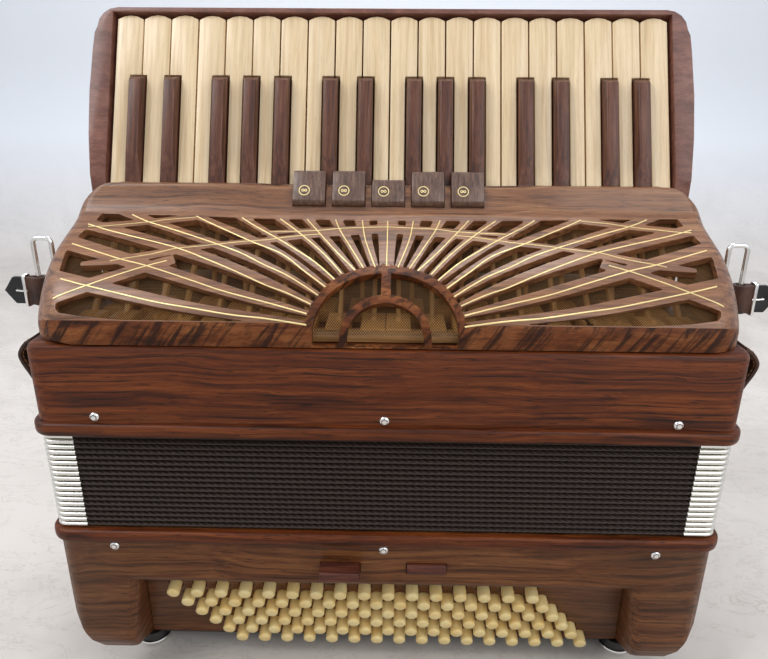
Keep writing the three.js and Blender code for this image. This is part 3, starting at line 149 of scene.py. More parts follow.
CROSS_WIDTH_SHARES = [
    (1.7, 1.5, 1.3), (0.5, 1.2, 1.1, 0.75, 0.9, 0.85, 0.8), (1.1, 1, 1), (0.6, 0.7, 0.75),
]

# Gold lines inlaid in the cover, left half, as (X, w)
INLAY_WIDTH = 0.85
INLAY_PROUD, INLAY_SUNK = 0.3, 0.3
INLAY_LINES = [
    [(-196, 134), (-179, 129), (-139, 119), (-116, 115), (-91, 111), (-70, 109), (-46, 106)],
    [(-201, 167), (-182, 159), (-165, 152), (-147, 146), (-117, 134), (-96, 126), (-71, 119), (-46, 112)],
    [(-199, 189), (-180, 181), (-152, 171), (-131, 163), (-110, 152), (-90, 141), (-72, 131), (-60, 126),
     (-44, 118)],
    [(-173, 200), (-159, 192), (-139, 183), (-108, 168), (-91, 159), (-75, 148), (-60, 139), (-40, 124)],
    [(-129, 199), (-114, 189), (-88, 172), (-66, 159), (-50, 143), (-36, 130)],
    [(-98, 198), (-88, 189), (-72, 176), (-56, 162), (-44, 151), (-31, 136)],
    [(-72, 197), (-58, 182), (-40, 160), (-27, 141)],
    [(-54, 197), (-46, 184), (-32, 162), (-19, 144)],
    [(-35, 197), (-30, 182), (-14, 146)],
    [(-17, 196), (-14, 174), (-7, 147)],
    [(0, 196), (0, 148)],
    [(-197, 120), (-179, 129), (-166, 136), (-149, 145), (-136, 151)],
]
THIN_INLAY_WIDTH = 0.6
THIN_INLAY_LINES = [
    [(-171, 150), (-165, 152), (-148, 157), (-134, 163), (-123, 165), (-108, 168), (-93, 171), (-79, 173),
     (-58, 178), (-44, 180)],
    [(-198, 186), (-186, 187), (-160, 192), (-148, 195), (-129, 198)],
    [(-77, 182), (-47, 184), (-30, 187), (0, 189)],
]

# Registers on the treble side sit in a shallow scoop behind the fretwork
REGISTER_COUNT = 5
REGISTER_PITCH = 27
REGISTER_WIDTH = 22
REGISTER_ROW_HALF = REGISTER_PITCH * (REGISTER_COUNT - 1) / 2 + REGISTER_WIDTH / 2 + 1.2
REGISTER_WELL_HALF = REGISTER_WIDTH / 2 + 0.5
KEY_WELL_HALF = 197
KEY_WELL_T = -3.6
REGISTER_WELL_S = -20.5
SCOOP_DEPTH = 2.2
SCOOP_RISE = 1.1
SCOOP_LEAD, SCOOP_BEND, SCOOP_RUNOUT = 4.5, 6, 55
WELL_BACK, WELL_BACK_T = 0.35, -0.4
RING_MARK, DOT_MARK = 3.5, 0.75
TAB_LOW_S, TAB_HIGH_S, TAB_BACK_T, TAB_FACE_T = -21, 5, -4.2, -7
TAB_FACE_TOP, TAB_FACE_LENGTH, TAB_FACE_LIFT = 3.8, 20.8, 3.9

# Button board in the bass end
RECESS_HALF = HALF_WIDTH - 50.5
RECESS_FLARE = 9
RECESS_HEIGHT = 73
RECESS_LIP = BASS_LOW + RECESS_HEIGHT
FRONT_ROUND = 32
BOARD_TOP_Y = -HALF_DEPTH + 13.8
BOARD_TILT = math.radians(15)
BOARD_THICKNESS = 6
BUTTON_ROWS, NOTE_ROWS, BUTTONS_PER_ROW = 6, 2, 16
BUTTON_RADIUS = 4.45
BUTTON_PROUD, BUTTON_LENGTH, BUTTON_CROWN = 9, 18, 1.7
BUTTON_PITCH, BUTTON_ROW_PITCH, BUTTON_ROW_SHIFT = 16.67, 10.8, 8.38
BUTTON_FIRST_X = -RECESS_HALF + 18.8
BUTTON_FIRST_DROP = 14.45

# Plate, pins, feet and straps
PIN_INSET, FOOT_INSET, PLATE_SETBACK = 39, 40, 27
PIN_OFFSET = 4.2
PILLAR_ROUND = 7
STITCH_LENGTH, STITCH_STEP = 2.2, 3.4
HAND_STRAP_WIDTH, HAND_STRAP_THICKNESS = 60, 3.8
HAND_STRAP_INSET, HAND_STRAP_DROP, HAND_STRAP_LOW = 26, 2.3, 4
AIR_BUTTON_INSET, AIR_BUTTON_SETBACK = 96, 63
CLOSING_WIDTH, CLOSING_THICKNESS, CLOSING_SETBACK = 22, 2.6, 33
RING_GAP, RING_WIDTH, RING_HEIGHT, RING_ROUND, RING_SETBACK = 6.5, 12, 49, 3.4, 63
WIRE_RADIUS = 1.6
TAIL_WIDTH, TAIL_THICKNESS = 19, 3

# Bellows
FOLDS = 18
BORE_INSET = 26
FOLD_DEPTH = 4
BELLOWS_INSET = 1.5
BELLOWS_ROUND = 7
CORNER_CAP_LENGTH = 21
FOLD_PITCH = (BELLOWS_HIGH - BELLOWS_LOW) / FOLDS
CLOTH_WAVE_LENGTH = 4.6

# Camera, read from the photograph: angles in radians
CAMERA_YAW, CAMERA_PITCH, CAMERA_ROLL = 0.016, -0.3424, 0.0074
CAMERA_PLACE = (4.92, -441.0, 396.4)
FOCAL_PIXELS, PICTURE_WIDTH = 650, 768


# Node graphs


def srgb(red, green, blue):
    def channel(value):
        value /= 255
        return value / 12.92 if value <= 0.04045 else ((value + 0.055) / 1.055) ** 2.4

    return (channel(red), channel(green), channel(blue), 1)


class Nodes:
    """Short calls that add nodes to a tree."""

    def __init__(self, tree):
        self.tree = tree

    def node(self, kind, inputs=(), **settings):
        made = self.tree.nodes.new(kind)
        for key, value in settings.items():
            setattr(made, key, value)
        for key, value in dict(inputs).items():
            self.feed(made.inputs[key], value)
        return made

    def feed(self, socket, value):
        if isinstance(value, bpy.types.NodeSocket):
            self.tree.links.new(value, socket)
        else:
            socket.default_value = value

    def math(self, operation, first, second=0.0):
        return self.node("ShaderNodeMath", {0: first, 1: second}, operation=operation).outputs[0]

    def vector(self, operation, first, second):
        key = "Scale" if operation == "SCALE" else 1
        return self.node("ShaderNodeVectorMath", {0: first, key: second}, operation=operation).outputs[0]

    def split(self, vector):
        return self.node("ShaderNodeSeparateXYZ", {0: vector}).outputs

    def join(self, x, y, z):
        return self.node("ShaderNodeCombineXYZ", {0: x, 1: y, 2: z}).outputs[0]

    def mix(self, factor, first, second, blend="MIX"):
        inputs = {0: factor, 6: first, 7: second}
        return self.node("ShaderNodeMix", inputs, data_type="RGBA", blend_type=blend).outputs[2]

    def spread(self, value, low, high, to_low=0.0, to_high=1.0):
        inputs = {0: value, 1: low, 2: high, 3: to_low, 4: to_high}
        return self.node("ShaderNodeMapRange", inputs, clamp=True).outputs[0]

    def ramp(self, factor, stops):
        made = self.node("ShaderNodeValToRGB", {0: factor})
        elements = made.color_ramp.elements
        while len(elements) < len(stops):
            elements.new(0.5)
        for element, (place, colour) in zip(elements, stops):
            element.position = place
            element.color = colour
        return made.outputs[0]

    def noise(self, place, rates, detail=3.0, rough=0.5, distort=0.0, output="Fac"):
        """Noise with a rate for each axis; one rate serves all three and the second also serves Z."""
        rates = rates if isinstance(rates, tuple) else (rates, rates)
        vector = self.vector("MULTIPLY", place, (rates[0], rates[1], rates[-1]))
        inputs = {"Vector": vector, "Scale": 1.0, "Detail": detail, "Roughness": rough, "Distortion": distort}
        return self.node("ShaderNodeTexNoise", inputs).outputs[output]

    def millimetres(self):
        coordinates = self.node("ShaderNodeTexCoord").outputs["Object"]
        return self.vector("SCALE", coordinates, 1 / MM)

    def is_seen(self):
        """One where the camera looks, straight or by way of metal or glass, else zero."""
        paths = self.node("ShaderNodeLightPath").outputs
        mirrored = self.math("MAXIMUM", paths["Is Glossy Ray"], paths["Is Transmission Ray"])
        return self.math("MAXIMUM", paths["Is Camera Ray"], mirrored)


class Graph(Nodes):
    """A material with a Principled shader."""

    def __init__(self, name, **shader):
        self.material = bpy.data.materials.new(name)
        self.material.use_nodes = True
        super().__init__(self.material.node_tree)
        self.tree.nodes.clear()
        self.output = self.node("ShaderNodeOutputMaterial")
        self.shader = self.node("ShaderNodeBsdfPrincipled", shader)
        self.feed(self.output.inputs["Surface"], self.shader.outputs[0])

    def set(self, key, value):
        self.feed(self.shader.inputs[key], value)

    def bump(self, height, strength, distance):
        inputs = {"Height": height, "Strength": strength, "Distance": distance * MM}
        self.set("Normal", self.node("ShaderNodeBump", inputs).outputs[0])


def darker(colour, share):
    return tuple(channel * share for channel in colour[:3]) + (1,)


def grain_place(g, ends, pitch, lean):
    """Millimetres with X along the grain; ends turn it round, pitch gives each key its own part."""
    place = g.millimetres()
    if ends:
        facing = g.math("ABSOLUTE", g.split(g.node("ShaderNodeTexCoord").outputs["Normal"])["X"])
        parts = g.split(place)
        inputs = {
            0: g.math("GREATER_THAN", facing, 0.8),
            4: place,
            5: g.join(parts["Y"], parts["X"], parts["Z"]),
        }
        place = g.node("ShaderNodeMix", inputs, data_type="VECTOR").outputs[1]
    if pitch:
        number = g.math("FLOOR", g.math("DIVIDE", g.split(place)["X"], pitch))
        chance = g.node("ShaderNodeTexWhiteNoise", {"W": number}, noise_dimensions="1D").outputs
        place = g.vector("ADD", place, g.vector("SCALE", chance["Color"], 90.0))
    if lean:
        turned = g.node("ShaderNodeMapping", {"Vector": place, "Rotation": (lean, 0, 0)})
        parts = g.split(turned.outputs[0])
        place = g.join(parts["Z"], parts["X"], parts["Y"])
    return place


def growth_lines(g, place, along, scale):
    """Dark rings of the trunk, broken here and there."""
    inputs = {
        "Vector": g.vector("MULTIPLY", place, (along * 0.9, 1.0, 1.0)),
        "Scale": scale, "Distortion": 7.0, "Detail": 4.0, "Detail Scale": 1.4, "Detail Roughness": 0.6,
    }
    rings = g.node("ShaderNodeTexWave", inputs, wave_type="BANDS", bands_direction="Z").outputs["Fac"]
    broken = g.noise(place, (along * 2.5, 0.07), 2.0)
    return g.math("MULTIPLY", g.spread(rings, 0.2, 0.0), g.spread(broken, 0.4, 0.6))


def wood(
    name, dark, middle, light, across=0.3, along=0.008, lean=0.0, ends=False, pitch=0.0,
    lines=0.6, line_scale=0.05, warp=6.0, fibre=0.24, tint=None, tint_share=0.35,
    roughness=0.4, coat=0.3, figure=0.0, level=0.45, inner=None,
):
    """Lacquered wood: X is along the grain, or the way up the keys where it leans."""
    g = Graph(name, **{"Coat Weight": coat, "Coat Roughness": 0.26, "Specular IOR Level": level})
    dark, middle, light = (srgb(*colour) for colour in (dark, middle, light))
    place = grain_place(g, ends, pitch, lean)
    drift = g.noise(place, (0.009, 0.02), 2.0, output="Color")
    shift = g.vector("SCALE", g.vector("SUBTRACT", drift, (0.5, 0.5, 0.5)), warp * 2)
    place = g.vector("ADD", place, g.vector("MULTIPLY", shift, (0.0, 1.0, 1.0)))
    streaks = g.noise(place, (along, across), 6.0, 0.62, 0.25)
    colour = g.ramp(streaks, [(0.3, dark), (0.48, middle), (0.7, light)])
    if tint:
        patches = g.noise(place, (0.006, 0.022), 2.0)
        colour = g.mix(g.spread(patches, 0.42, 0.62, 0.0, tint_share), colour, srgb(*tint))
    line = growth_lines(g, place, along, line_scale)
    colour = g.mix(g.math("MULTIPLY", line, lines), colour, darker(dark, 0.35))
    fibres = g.noise(place, (along * 6, 1.7), 3.0, 0.6)
    shade = g.spread(fibres, 0.3, 0.7, 1 - fibre, 1 + fibre)
    colour = g.mix(1.0, colour, g.join(shade, shade, shade), "MULTIPLY")
    if figure:
        slant = g.node("ShaderNodeMapping", {"Vector": g.millimetres(), "Rotation": (0.0, 0.95, 0.0)})
        flames = g.spread(g.noise(slant.outputs[0], (0.018, 0.24), 4.0, 0.6, 0.5), 0.53, 0.4)
        colour = g.mix(g.math("MULTIPLY", flames, figure), colour, darker(dark, 0.4))
    if inner:
        height = g.split(g.millimetres())["Z"]
        colour = g.mix(g.spread(height, COVER_TOP - 3, COVER_TOP - 6), colour, srgb(*inner))
    pores = g.spread(g.noise(place, (along * 9, 1.1), 2.0, 0.6), 0.4, 0.3)
    pores = g.math("MULTIPLY", pores, min(lines * 1.1, 0.75))
    g.set("Base Color", g.mix(pores, colour, darker(dark, 0.4)))
    g.set("Roughness", g.spread(streaks, 0.3, 0.7, roughness + 0.08, roughness - 0.05))
    g.bump(g.math("ADD", fibres, g.math("MULTIPLY", line, -0.6)), 0.22, 0.12)
    return g.material


def metal(name, colour, roughness, dents=0.05):
    g = Graph(name, Metallic=1.0, **{"Base Color": colour})
    smears = g.noise(g.millimetres(), 0.25, 4.0, 0.6)
    g.set("Roughness", g.spread(smears, 0.35, 0.7, roughness, roughness * 1.9))
    if dents:
        g.bump(g.noise(g.millimetres(), 1.3, 2.0), dents, 0.05)
    return g.material


def plastic(name, shadow, body, roughness):
    g = Graph(name, **{"Coat Weight": 0.25, "Coat Roughness": 0.15})
    clouds = g.noise(g.millimetres(), 0.09, 4.0, 0.6)
    g.set("Base Color", g.ramp(clouds, [(0.3, srgb(*shadow)), (0.62, srgb(*body))]))
    g.set("Roughness", g.spread(clouds, 0.3, 0.7, roughness, roughness + 0.1))
    g.bump(g.noise(g.millimetres(), 2.0), 0.05, 0.05)
    return g.material


def leather(name, dark, body, worn, roughness=0.5):
    g = Graph(name, **{"Specular IOR Level": 0.4})
    place = g.millimetres()
    cells = g.node("ShaderNodeTexVoronoi", {"Vector": place, "Scale": 0.9}, feature="DISTANCE_TO_EDGE")
    pores = g.spread(cells.outputs["Distance"], 0.0, 0.25)
    clouds = g.noise(place, 0.06, 4.0, 0.6)
    colour = g.ramp(clouds, [(0.32, srgb(*dark)), (0.55, srgb(*body)), (0.75, srgb(*worn))])
    g.set("Base Color", g.mix(g.math("MULTIPLY", g.math("SUBTRACT", 1.0, pores), 0.45), colour, srgb(*dark)))
    g.set("Roughness", g.spread(clouds, 0.3, 0.7, roughness + 0.12, roughness - 0.05))
    g.bump(g.math("ADD", pores, clouds), 0.35, 0.25)
    return g.material


def bellows_cloth():
    """Dark book cloth with an embossed wave along each fold."""
    g = Graph("bellows_cloth_look", **{"Specular IOR Level": 0.35})
    place = g.millimetres()
    parts = g.split(place)
    around = g.math("ADD", parts["X"], parts["Y"])
    row = g.math("FLOOR", g.math("DIVIDE", g.math("SUBTRACT", parts["Z"], BELLOWS_LOW), FOLD_PITCH))
    turns = g.math("MULTIPLY", around, 2 * math.pi / CLOTH_WAVE_LENGTH)
    phase = g.math("ADD", turns, g.math("MULTIPLY", row, 1.3))
    wave = g.spread(g.math("SINE", g.math("ADD", phase, g.math("MULTIPLY", parts["Z"], 1.4))), -1.0, 1.0)
    grain = g.noise(place, 1.1, 4.0, 0.65)
    clouds = g.noise(place, (0.02, 0.02, 0.05))
    colour = g.ramp(grain, [(0.3, srgb(26, 19, 16)), (0.7, srgb(54, 40, 33))])
    colour = g.mix(g.math("MULTIPLY", wave, 0.4), colour, srgb(74, 58, 50))
    g.set("Base Color", g.mix(g.spread(clouds, 0.45, 0.7, 0.0, 0.35), colour, srgb(46, 35, 33)))
    g.set("Roughness", g.spread(grain, 0.3, 0.7, 0.62, 0.48))
    g.bump(g.math("ADD", g.math("MULTIPLY", wave, 1.2), g.math("MULTIPLY", grain, 0.5)), 0.7, 0.45)
    return g.material


def gauze():
    """Fine diagonal weave that shows what lies behind it between its threads."""
    g = Graph("gauze_look", **{"Roughness": 0.6, "Specular IOR Level": 0.2})
    parts = g.split(g.millimetres())
    slope = g.math(
        "ADD",
        g.math("MULTIPLY", parts["Y"], math.sin(FRET_TILT)),
        g.math("MULTIPLY", parts["Z"], math.cos(FRET_TILT)),
    )
    sets = [
        g.math("SINE", g.math("MULTIPLY", g.math(way, parts["X"], slope), 2 * math.pi / THREAD_PITCH))
        for way in ("ADD", "SUBTRACT")
    ]
    threads = g.spread(g.math("MAXIMUM", *sets), 0.25, 0.5)
    clouds = g.noise(g.millimetres(), 0.03)
    g.set("Base Color", g.ramp(clouds, [(0.35, srgb(84, 58, 34)), (0.65, srgb(124, 92, 56))]))
    g.bump(threads, 0.5, 0.3)
    clear = g.node("ShaderNodeBsdfTransparent", {"Color": (1, 1, 1, 1)})
    shown = {0: g.math("MULTIPLY", threads, 0.36), 1: clear.outputs[0], 2: g.shader.outputs[0]}
    g.feed(g.output.inputs["Surface"], g.node("ShaderNodeMixShader", shown).outputs[0])
    return g.material


LOOKS = {
    "walnut": wood(
        "walnut_look", (56, 28, 12), (104, 60, 30), (136, 88, 50), ends=True,
        tint=(92, 60, 34), tint_share=0.4, coat=0.08, level=0.25, warp=9.0,
    ),
    # Lighter and greyer than the case's walnut: partly the cover's own wood, partly painted sheen of light
    # from above.
    "sheen_lit_cover_walnut": wood(
        "cover_walnut_look", (80, 44, 26), (132, 86, 54), (160, 114, 76), ends=True,
        tint=(116, 80, 58), tint_share=0.4, roughness=0.36,
    ),
    "walnut_front": wood(
        "walnut_front_look", (40, 14, 4), (90, 41, 15), (124, 65, 29), ends=True,
        lines=0.85, line_scale=0.06, coat=0.07, level=0.22,
    ),
    "figured": wood(
        "figured_look", (48, 22, 10), (108, 58, 29), (148, 92, 52), across=0.12, along=0.03,
        figure=0.85, lines=0.3, coat=0.03, level=0.18,
    ),
    "cheek": wood(
        "cheek_look", (84, 46, 36), (118, 72, 58), (140, 94, 78), across=0.12, along=0.05,
        lines=0.15, tint=(98, 58, 46), tint_share=0.5, roughness=0.45,
    ),
    "maple": wood(
        "maple_look", (208, 178, 134), (229, 203, 162), (240, 218, 182), across=0.35, along=0.012,
        lean=KEY_LEAN, pitch=KEY_PITCH, lines=0.12, fibre=0.05, warp=2.0, roughness=0.35, coat=0.4,
        inner=(222, 166, 98),
    ),
    "dark_key": wood(
        "dark_key_look", (50, 24, 15), (88, 49, 33), (114, 72, 52), across=0.4, along=0.02,
        lean=KEY_LEAN, lines=0.4, warp=2.0, roughness=0.42, coat=0.16, level=0.35, inner=(206, 150, 86),
    ),
    "register": wood(
        "register_look", (62, 40, 32), (98, 70, 56), (124, 98, 82), across=0.5, along=0.03,
        lean=KEY_LEAN, lines=0.3, warp=1.5, roughness=0.38, coat=0.4,
    ),
    "maroon": wood(
        "maroon_look", (42, 17, 11), (76, 36, 24), (104, 58, 42), across=0.3, along=0.02,
        lines=0.3, warp=2.0, roughness=0.45, coat=0.1, level=0.3,
    ),
    "ivory": plastic("ivory_look", (250, 214, 136), (255, 234, 170), 0.3),
    "chrome": metal("chrome_look", (0.76, 0.76, 0.74, 1), 0.12, 0.0),
    "bright_steel": metal("corner_steel_look", (0.74, 0.73, 0.68, 1), 0.16, 0.0),
    "gold": metal("gold_look", srgb(238, 218, 160), 0.34),
    "black": plastic("black_plate_look", (16, 15, 15), (30, 28, 27), 0.45),
    "leather": leather("leather_look", (40, 22, 15), (76, 46, 32), (104, 68, 48)),
    "black_leather": leather("black_leather_look", (14, 14, 15), (34, 34, 36), (60, 60, 62), 0.42),
    "bellows": bellows_cloth(),
    "gauze": gauze(),
    # Colour of the thin sheets in the register slots: painted shade of the slots' insides.
    "slot_shade": plastic("slot_shade_look", (34, 25, 20), (52, 40, 31), 0.8),
    "ledge": wood("ledge_look", (150, 106, 62), (186, 140, 88), (208, 166, 112), lines=0.1),
}


# Mesh building


class Form:
    """Points in millimetres, faces and the number of each face's material."""

    def __init__(self):
        self.points = []
        self.faces = []
        self.kinds = []

    def add(self, points, faces, kind=0):
        start = len(self.points)
        self.points += [tuple(point) for point in points]
        self.faces += [[start + corner for corner in face] for face in faces]
        self.kinds += [kind] * len(faces)
        return self


def modify(thing, name, kind, **settings):
    modifier = thing.modifiers.new(name, kind)
    for key, value in settings.items():
        setattr(modifier, key, value)


def new_object(name, data):
    made = bpy.data.objects.new(name, data)
    bpy.context.scene.collection.objects.link(made)
    return made


def piece(name, form, looks, body, replaced=(), sharp=38.0, weighted=False):
    """Makes an object of a form; without a body it waits for a blend."""
    mesh = bpy.data.meshes.new(name)
    shift = Vector((0, MIDDLE_Y, 0))
    mesh.from_pydata([(Vector(point) + shift) * MM for point in form.points], [], form.faces)
    work = bmesh.new()
    work.from_mesh(mesh)
    for face, kind in zip(work.faces, form.kinds):
        face.material_index = kind
        face.smooth = True
    bmesh.ops.recalc_face_normals(work, faces=work.faces)
    work.to_mesh(mesh)
    work.free()
    mesh.set_sharp_from_angle(angle=math.radians(sharp))
    for look in looks:
        mesh.materials.append(LOOKS[look])
    made = new_object(name, mesh)
    if weighted:
        modify(made, "even_normals", "WEIGHTED_NORMAL", keep_sharp=True, weight=80)
    if body:
        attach(made, body)
    if replaced:
        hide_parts(*replaced)
    return made


def grid_faces(rows, size, rows_close=False, sections_close=True):
    """Faces between rows of points, each row a section of the same size."""
    faces = []
    for row in range(rows if rows_close else rows - 1):
        low, high = row * size, (row + 1) % rows * size
        for corner in range(size if sections_close else size - 1):
            after = (corner + 1) % size
            faces.append([low + corner, low + after, high + after, high + corner])
    return faces


def lathe(form, profile, origin, axis, steps=32, kind=0):
    """Turns (radius, height) round an axis; a profile that starts and ends on it closes."""
    axis = Vector(axis).normalized()
    side = axis.orthogonal().normalized()
    other = axis.cross(side)
    points, rings = [], []
    for radius, height in profile:
        centre = Vector(origin) + axis * height
        if radius < 1e-6:
            rings.append([len(points)] * steps)
            points.append(centre)
            continue
        rings.append([len(points) + step for step in range(steps)])
        for step in range(steps):
            angle = 2 * math.pi * step / steps
            points.append(centre + (side * math.cos(angle) + other * math.sin(angle)) * radius)
    faces = []
    for low, high in zip(rings, rings[1:]):
        for step in range(steps):
            after = (step + 1) % steps
            corners = [low[step], low[after], high[after], high[step]]
            faces.append(list(dict.fromkeys(corners)))
    form.add(points, [face for face in faces if len(face) > 2], kind)


def dome_profile(radius, height, foot, steps=6):
    arc = [
        (radius * math.cos(math.pi / 2 * step / steps), foot + height * math.sin(math.pi / 2 * step / steps))
        for step in range(steps)
    ]
    return [(0, 0), (radius, 0), *arc, (0, foot + height)]


def sweep(form, path, section, side, closed=False, kind=0):
    """Carries a closed (out, side) section along a path; out is square to the path and the side."""
    path = [Vector(point) for point in path]
    side = Vector(side).normalized()
    count, size = len(path), len(section)
    points = []
    for index, centre in enumerate(path):
        before = path[index - 1] if closed or index else centre
        after = path[(index + 1) % count] if closed or index < count - 1 else centre
        out = side.cross((after - before).normalized()).normalized()
        points += [centre + out * a + side * b for a, b in section]
    faces = grid_faces(count, size, rows_close=closed)
    if not closed:
        faces.append(list(range(size))[::-1])
        faces.append([(count - 1) * size + corner for corner in range(size)])
    form.add(points, faces, kind)


def oval(out, side, steps):
    turn = [2 * math.pi * step / steps for step in range(steps)]
    return [(out * math.cos(angle), side * math.sin(angle)) for angle in turn]


def rounded_loop(half_x, half_y, radius, steps=3):
    """A rectangle with rounded corners; also the section of a strap."""
    x, y = half_x - radius, half_y - radius
    points = []
    for quarter, (cx, cy) in enumerate(((x, y), (-x, y), (-x, -y), (x, -y))):
        for step in range(steps + 1):
            angle = math.pi / 2 * (quarter + step / steps)
            points.append((cx + radius * math.cos(angle), cy + radius * math.sin(angle)))
    return points


def smooth_path(spots, per=6):
    """A curve through the spots."""
    spots = [Vector(spot) for spot in spots]
    path = []
    for index in range(len(spots) - 1):
        p0 = spots[max(index - 1, 0)]
        p1, p2 = spots[index], spots[index + 1]
        p3 = spots[min(index + 2, len(spots) - 1)]
        for step in range(per):
            t = step / per
            path.append(
                0.5 * (2 * p1 + (p2 - p0) * t + (2 * p0 - 5 * p1 + 4 * p2 - p3) * t * t
                       + (3 * p1 - p0 - 3 * p2 + p3) * t ** 3)
            )
    return path + [spots[-1]]


def add_bevelled(form, work, radius, kind=0):
    """Eases every edge of a small mesh and adds it to the form."""
    bmesh.ops.bevel(work, geom=work.edges, offset=radius, segments=2, profile=0.5, affect="EDGES")
    work.verts.index_update()
    form.add([v.co.copy() for v in work.verts], [[v.index for v in f.verts] for f in work.faces], kind)
    work.free()


def rounded_box(form, low, high, radius, kind=0):
    work = bmesh.new()
    bmesh.ops.create_cube(work, size=1)
    for vertex in work.verts:
        vertex.co = Vector(low[i] + (vertex.co[i] + 0.5) * (high[i] - low[i]) for i in range(3))
    add_bevelled(form, work, radius, kind)


def prism(form, section, x0, x1, bevel):
    """A section carried across in X, with its edges eased."""
    work = bmesh.new()
    rings = [[work.verts.new((x, point.y, point.z)) for point in section] for x in (x0, x1)]
    for index in range(len(section)):
        work.faces.new((rings[0][index - 1], rings[0][index], rings[1][index], rings[1][index - 1]))
    work.faces.new(rings[0][::-1])
    work.faces.new(rings[1])
    add_bevelled(form, work, bevel)


# Plates with holes


def flat_distance(a, b):
    return math.hypot(a[0] - b[0], a[1] - b[1])


def resampled(loop, step):
    """The loop with its long edges divided."""
    points = []
    for (x, y), (end_x, end_y) in zip(loop, loop[1:] + loop[:1]):
        parts = max(1, math.ceil(flat_distance((x, y), (end_x, end_y)) / step))
        across, up = (end_x - x) / parts, (end_y - y) / parts
        points += [(x + across * part, y + up * part) for part in range(parts)]
    return points


def cleaned(loop, near=0.25):
    points = []
    for point in loop:
        if not points or flat_distance(point, points[-1]) > near:
            points.append(point)
    while len(points) > 3 and flat_distance(points[0], points[-1]) <= near:
        points.pop()
    return points


def softened(loop, radius, steps=3):
    """Sharp corners of a loop become small arcs."""
    points = []
    count = len(loop)
    for index, at in enumerate(loop):
        a = Vector(loop[index - 1]) - Vector(at)
        b = Vector(loop[(index + 1) % count]) - Vector(at)
        turn = math.pi - a.angle(b, math.pi)
        if turn < 0.25:
            points.append(at)
            continue
        cut = min(radius * math.tan(min(turn, 2.4) / 2), 0.42 * a.length, 0.42 * b.length)
        start, end = Vector(at) + a.normalized() * cut, Vector(at) + b.normalized() * cut
        for step in range(steps + 1):
            t = step / steps
            spot = start * (1 - t) ** 2 + Vector(at) * 2 * t * (1 - t) + end * t * t
            points.append((spot.x, spot.y))
    return points


def signed_area(loop):
    return sum(a[0] * b[1] - b[0] * a[1] for a, b in zip(loop, loop[1:] + loop[:1])) / 2


def counter_clockwise(loop):
    return loop if signed_area(loop) > 0 else loop[::-1]


def border_edges(cells, values):
    """The edges that only one cell has, each with that cell's value."""
    border = {}
    for cell, value in zip(cells, values):
        for a, b in zip(cell, cell[1:] + cell[:1]):
            if (b, a) in border:
                del border[(b, a)]
            else:
                border[(a, b)] = value
    return border


def edge_loops(border, flat):
    """The closed loops that the border's edges form."""
    following = {}
    for a, b in border:
        following.setdefault(a, []).append(b)
    loops = []
    while following:
        start = at = next(iter(following))
        loop = []
        while not loop or at != start:
            loop.append((flat[at].x, flat[at].y))
            onward = following[at].pop()
            if not following[at]:
                del following[at]
            at = onward
        loops.append(loop)
    return loops


def grown(loop, distance):
    """The loop, counter-clockwise, moved outwards."""
    points = []
    count = len(loop)
    for index, at in enumerate(loop):
        a = (Vector(at) - Vector(loop[index - 1])).normalized()
        b = (Vector(loop[(index + 1) % count]) - Vector(at)).normalized()
        normal = Vector((a.y + b.y, -a.x - b.x))
        if normal.length < 1e-6:
            normal = Vector((a.y, -a.x))
        normal.normalize()
        reach = distance / max(0.7, normal.dot(Vector((a.y, -a.x))))
        points.append((at[0] + normal.x * reach, at[1] + normal.y * reach))
    return points


def holed_plate(form, outline, holes, thickness, place, inner=(), lines=(), edge=0.4, kind_of=None):
    """A plate with holes whose front edges are eased, laid on a surface by place(x, y, depth)."""
    spots, depths, faces, edges = [], [], [], []

    def add_loop(loop, depth):
        start = len(spots)
        spots.extend(loop)
        depths.extend([depth] * len(loop))
        return list(range(start, start + len(loop)))

    faces.append(add_loop(outline, 0))
    for hole in holes:
        faces.append(add_loop(hole, edge))
        for grow, depth in ((edge * 0.3, edge * 0.3), (edge, 0)):
            ring = add_loop(grown(hole, grow), depth)
            edges += list(zip(ring, ring[1:] + ring[:1]))
    for line in lines:
        run = add_loop(line, 0)
        edges += list(zip(run, run[1:]))
    add_loop(list(inner), 0)
    found = delaunay_2d_cdt([Vector(spot) for spot in spots], edges, faces, 0, CDT_EPSILON)
    flat, _, cells, from_spots, _, from_faces = found
    kept = [cell for cell, source in zip(cells, from_faces) if 0 in source and len(source) == 1]
    used = sorted({corner for cell in kept for corner in cell})
    number = {corner: index for index, corner in enumerate(used)}
    rise = [max((depths[i] for i in from_spots[corner]), default=0) for corner in used]
    front = [place(flat[corner].x, flat[corner].y, depth) for corner, depth in zip(used, rise)]
    back = [place(flat[corner].x, flat[corner].y, thickness) for corner in used]
    middles = [sum((flat[corner] for corner in cell), Vector((0, 0))) / 3 for cell in kept]
    kinds = [kind_of(middle.x, middle.y) if kind_of else 0 for middle in middles]
    cells = [[number[corner] for corner in cell] for cell in kept]
    sides = border_edges(cells, kinds)
    start, count = len(form.points), len(used)
    faces = cells + [[count + corner for corner in reversed(cell)] for cell in cells]
    faces += [[b, a, count + a, count + b] for a, b in sides]
    form.points += [tuple(point) for point in front + back]
    form.faces += [[start + corner for corner in face] for face in faces]
    form.kinds += kinds + kinds + list(sides.values())


# Treble cover


def crown_curve():
    """The crown as tables over w: its (Y, Z) and the direction out of it."""
    spots = [
        Vector((0, -HALF_DEPTH + across * COVER_DEPTH, COVER_LOW + SEAT_GAP * (up == 0) + up * COVER_HEIGHT))
        for across, up in CROWN_SHARES
    ]
    path = np.array([(p.y, p.z) for p in smooth_path(spots, 16)])
    along = np.gradient(path, axis=0)
    along /= np.linalg.norm(along, axis=1)[:, None]
    rise = path[:, 0] * math.sin(FRET_TILT) + path[:, 1] * math.cos(FRET_TILT)
    return rise, path, np.stack([-along[:, 1], along[:, 0]], axis=1)


CROWN_W, CROWN_YZ, CROWN_OUT = crown_curve()


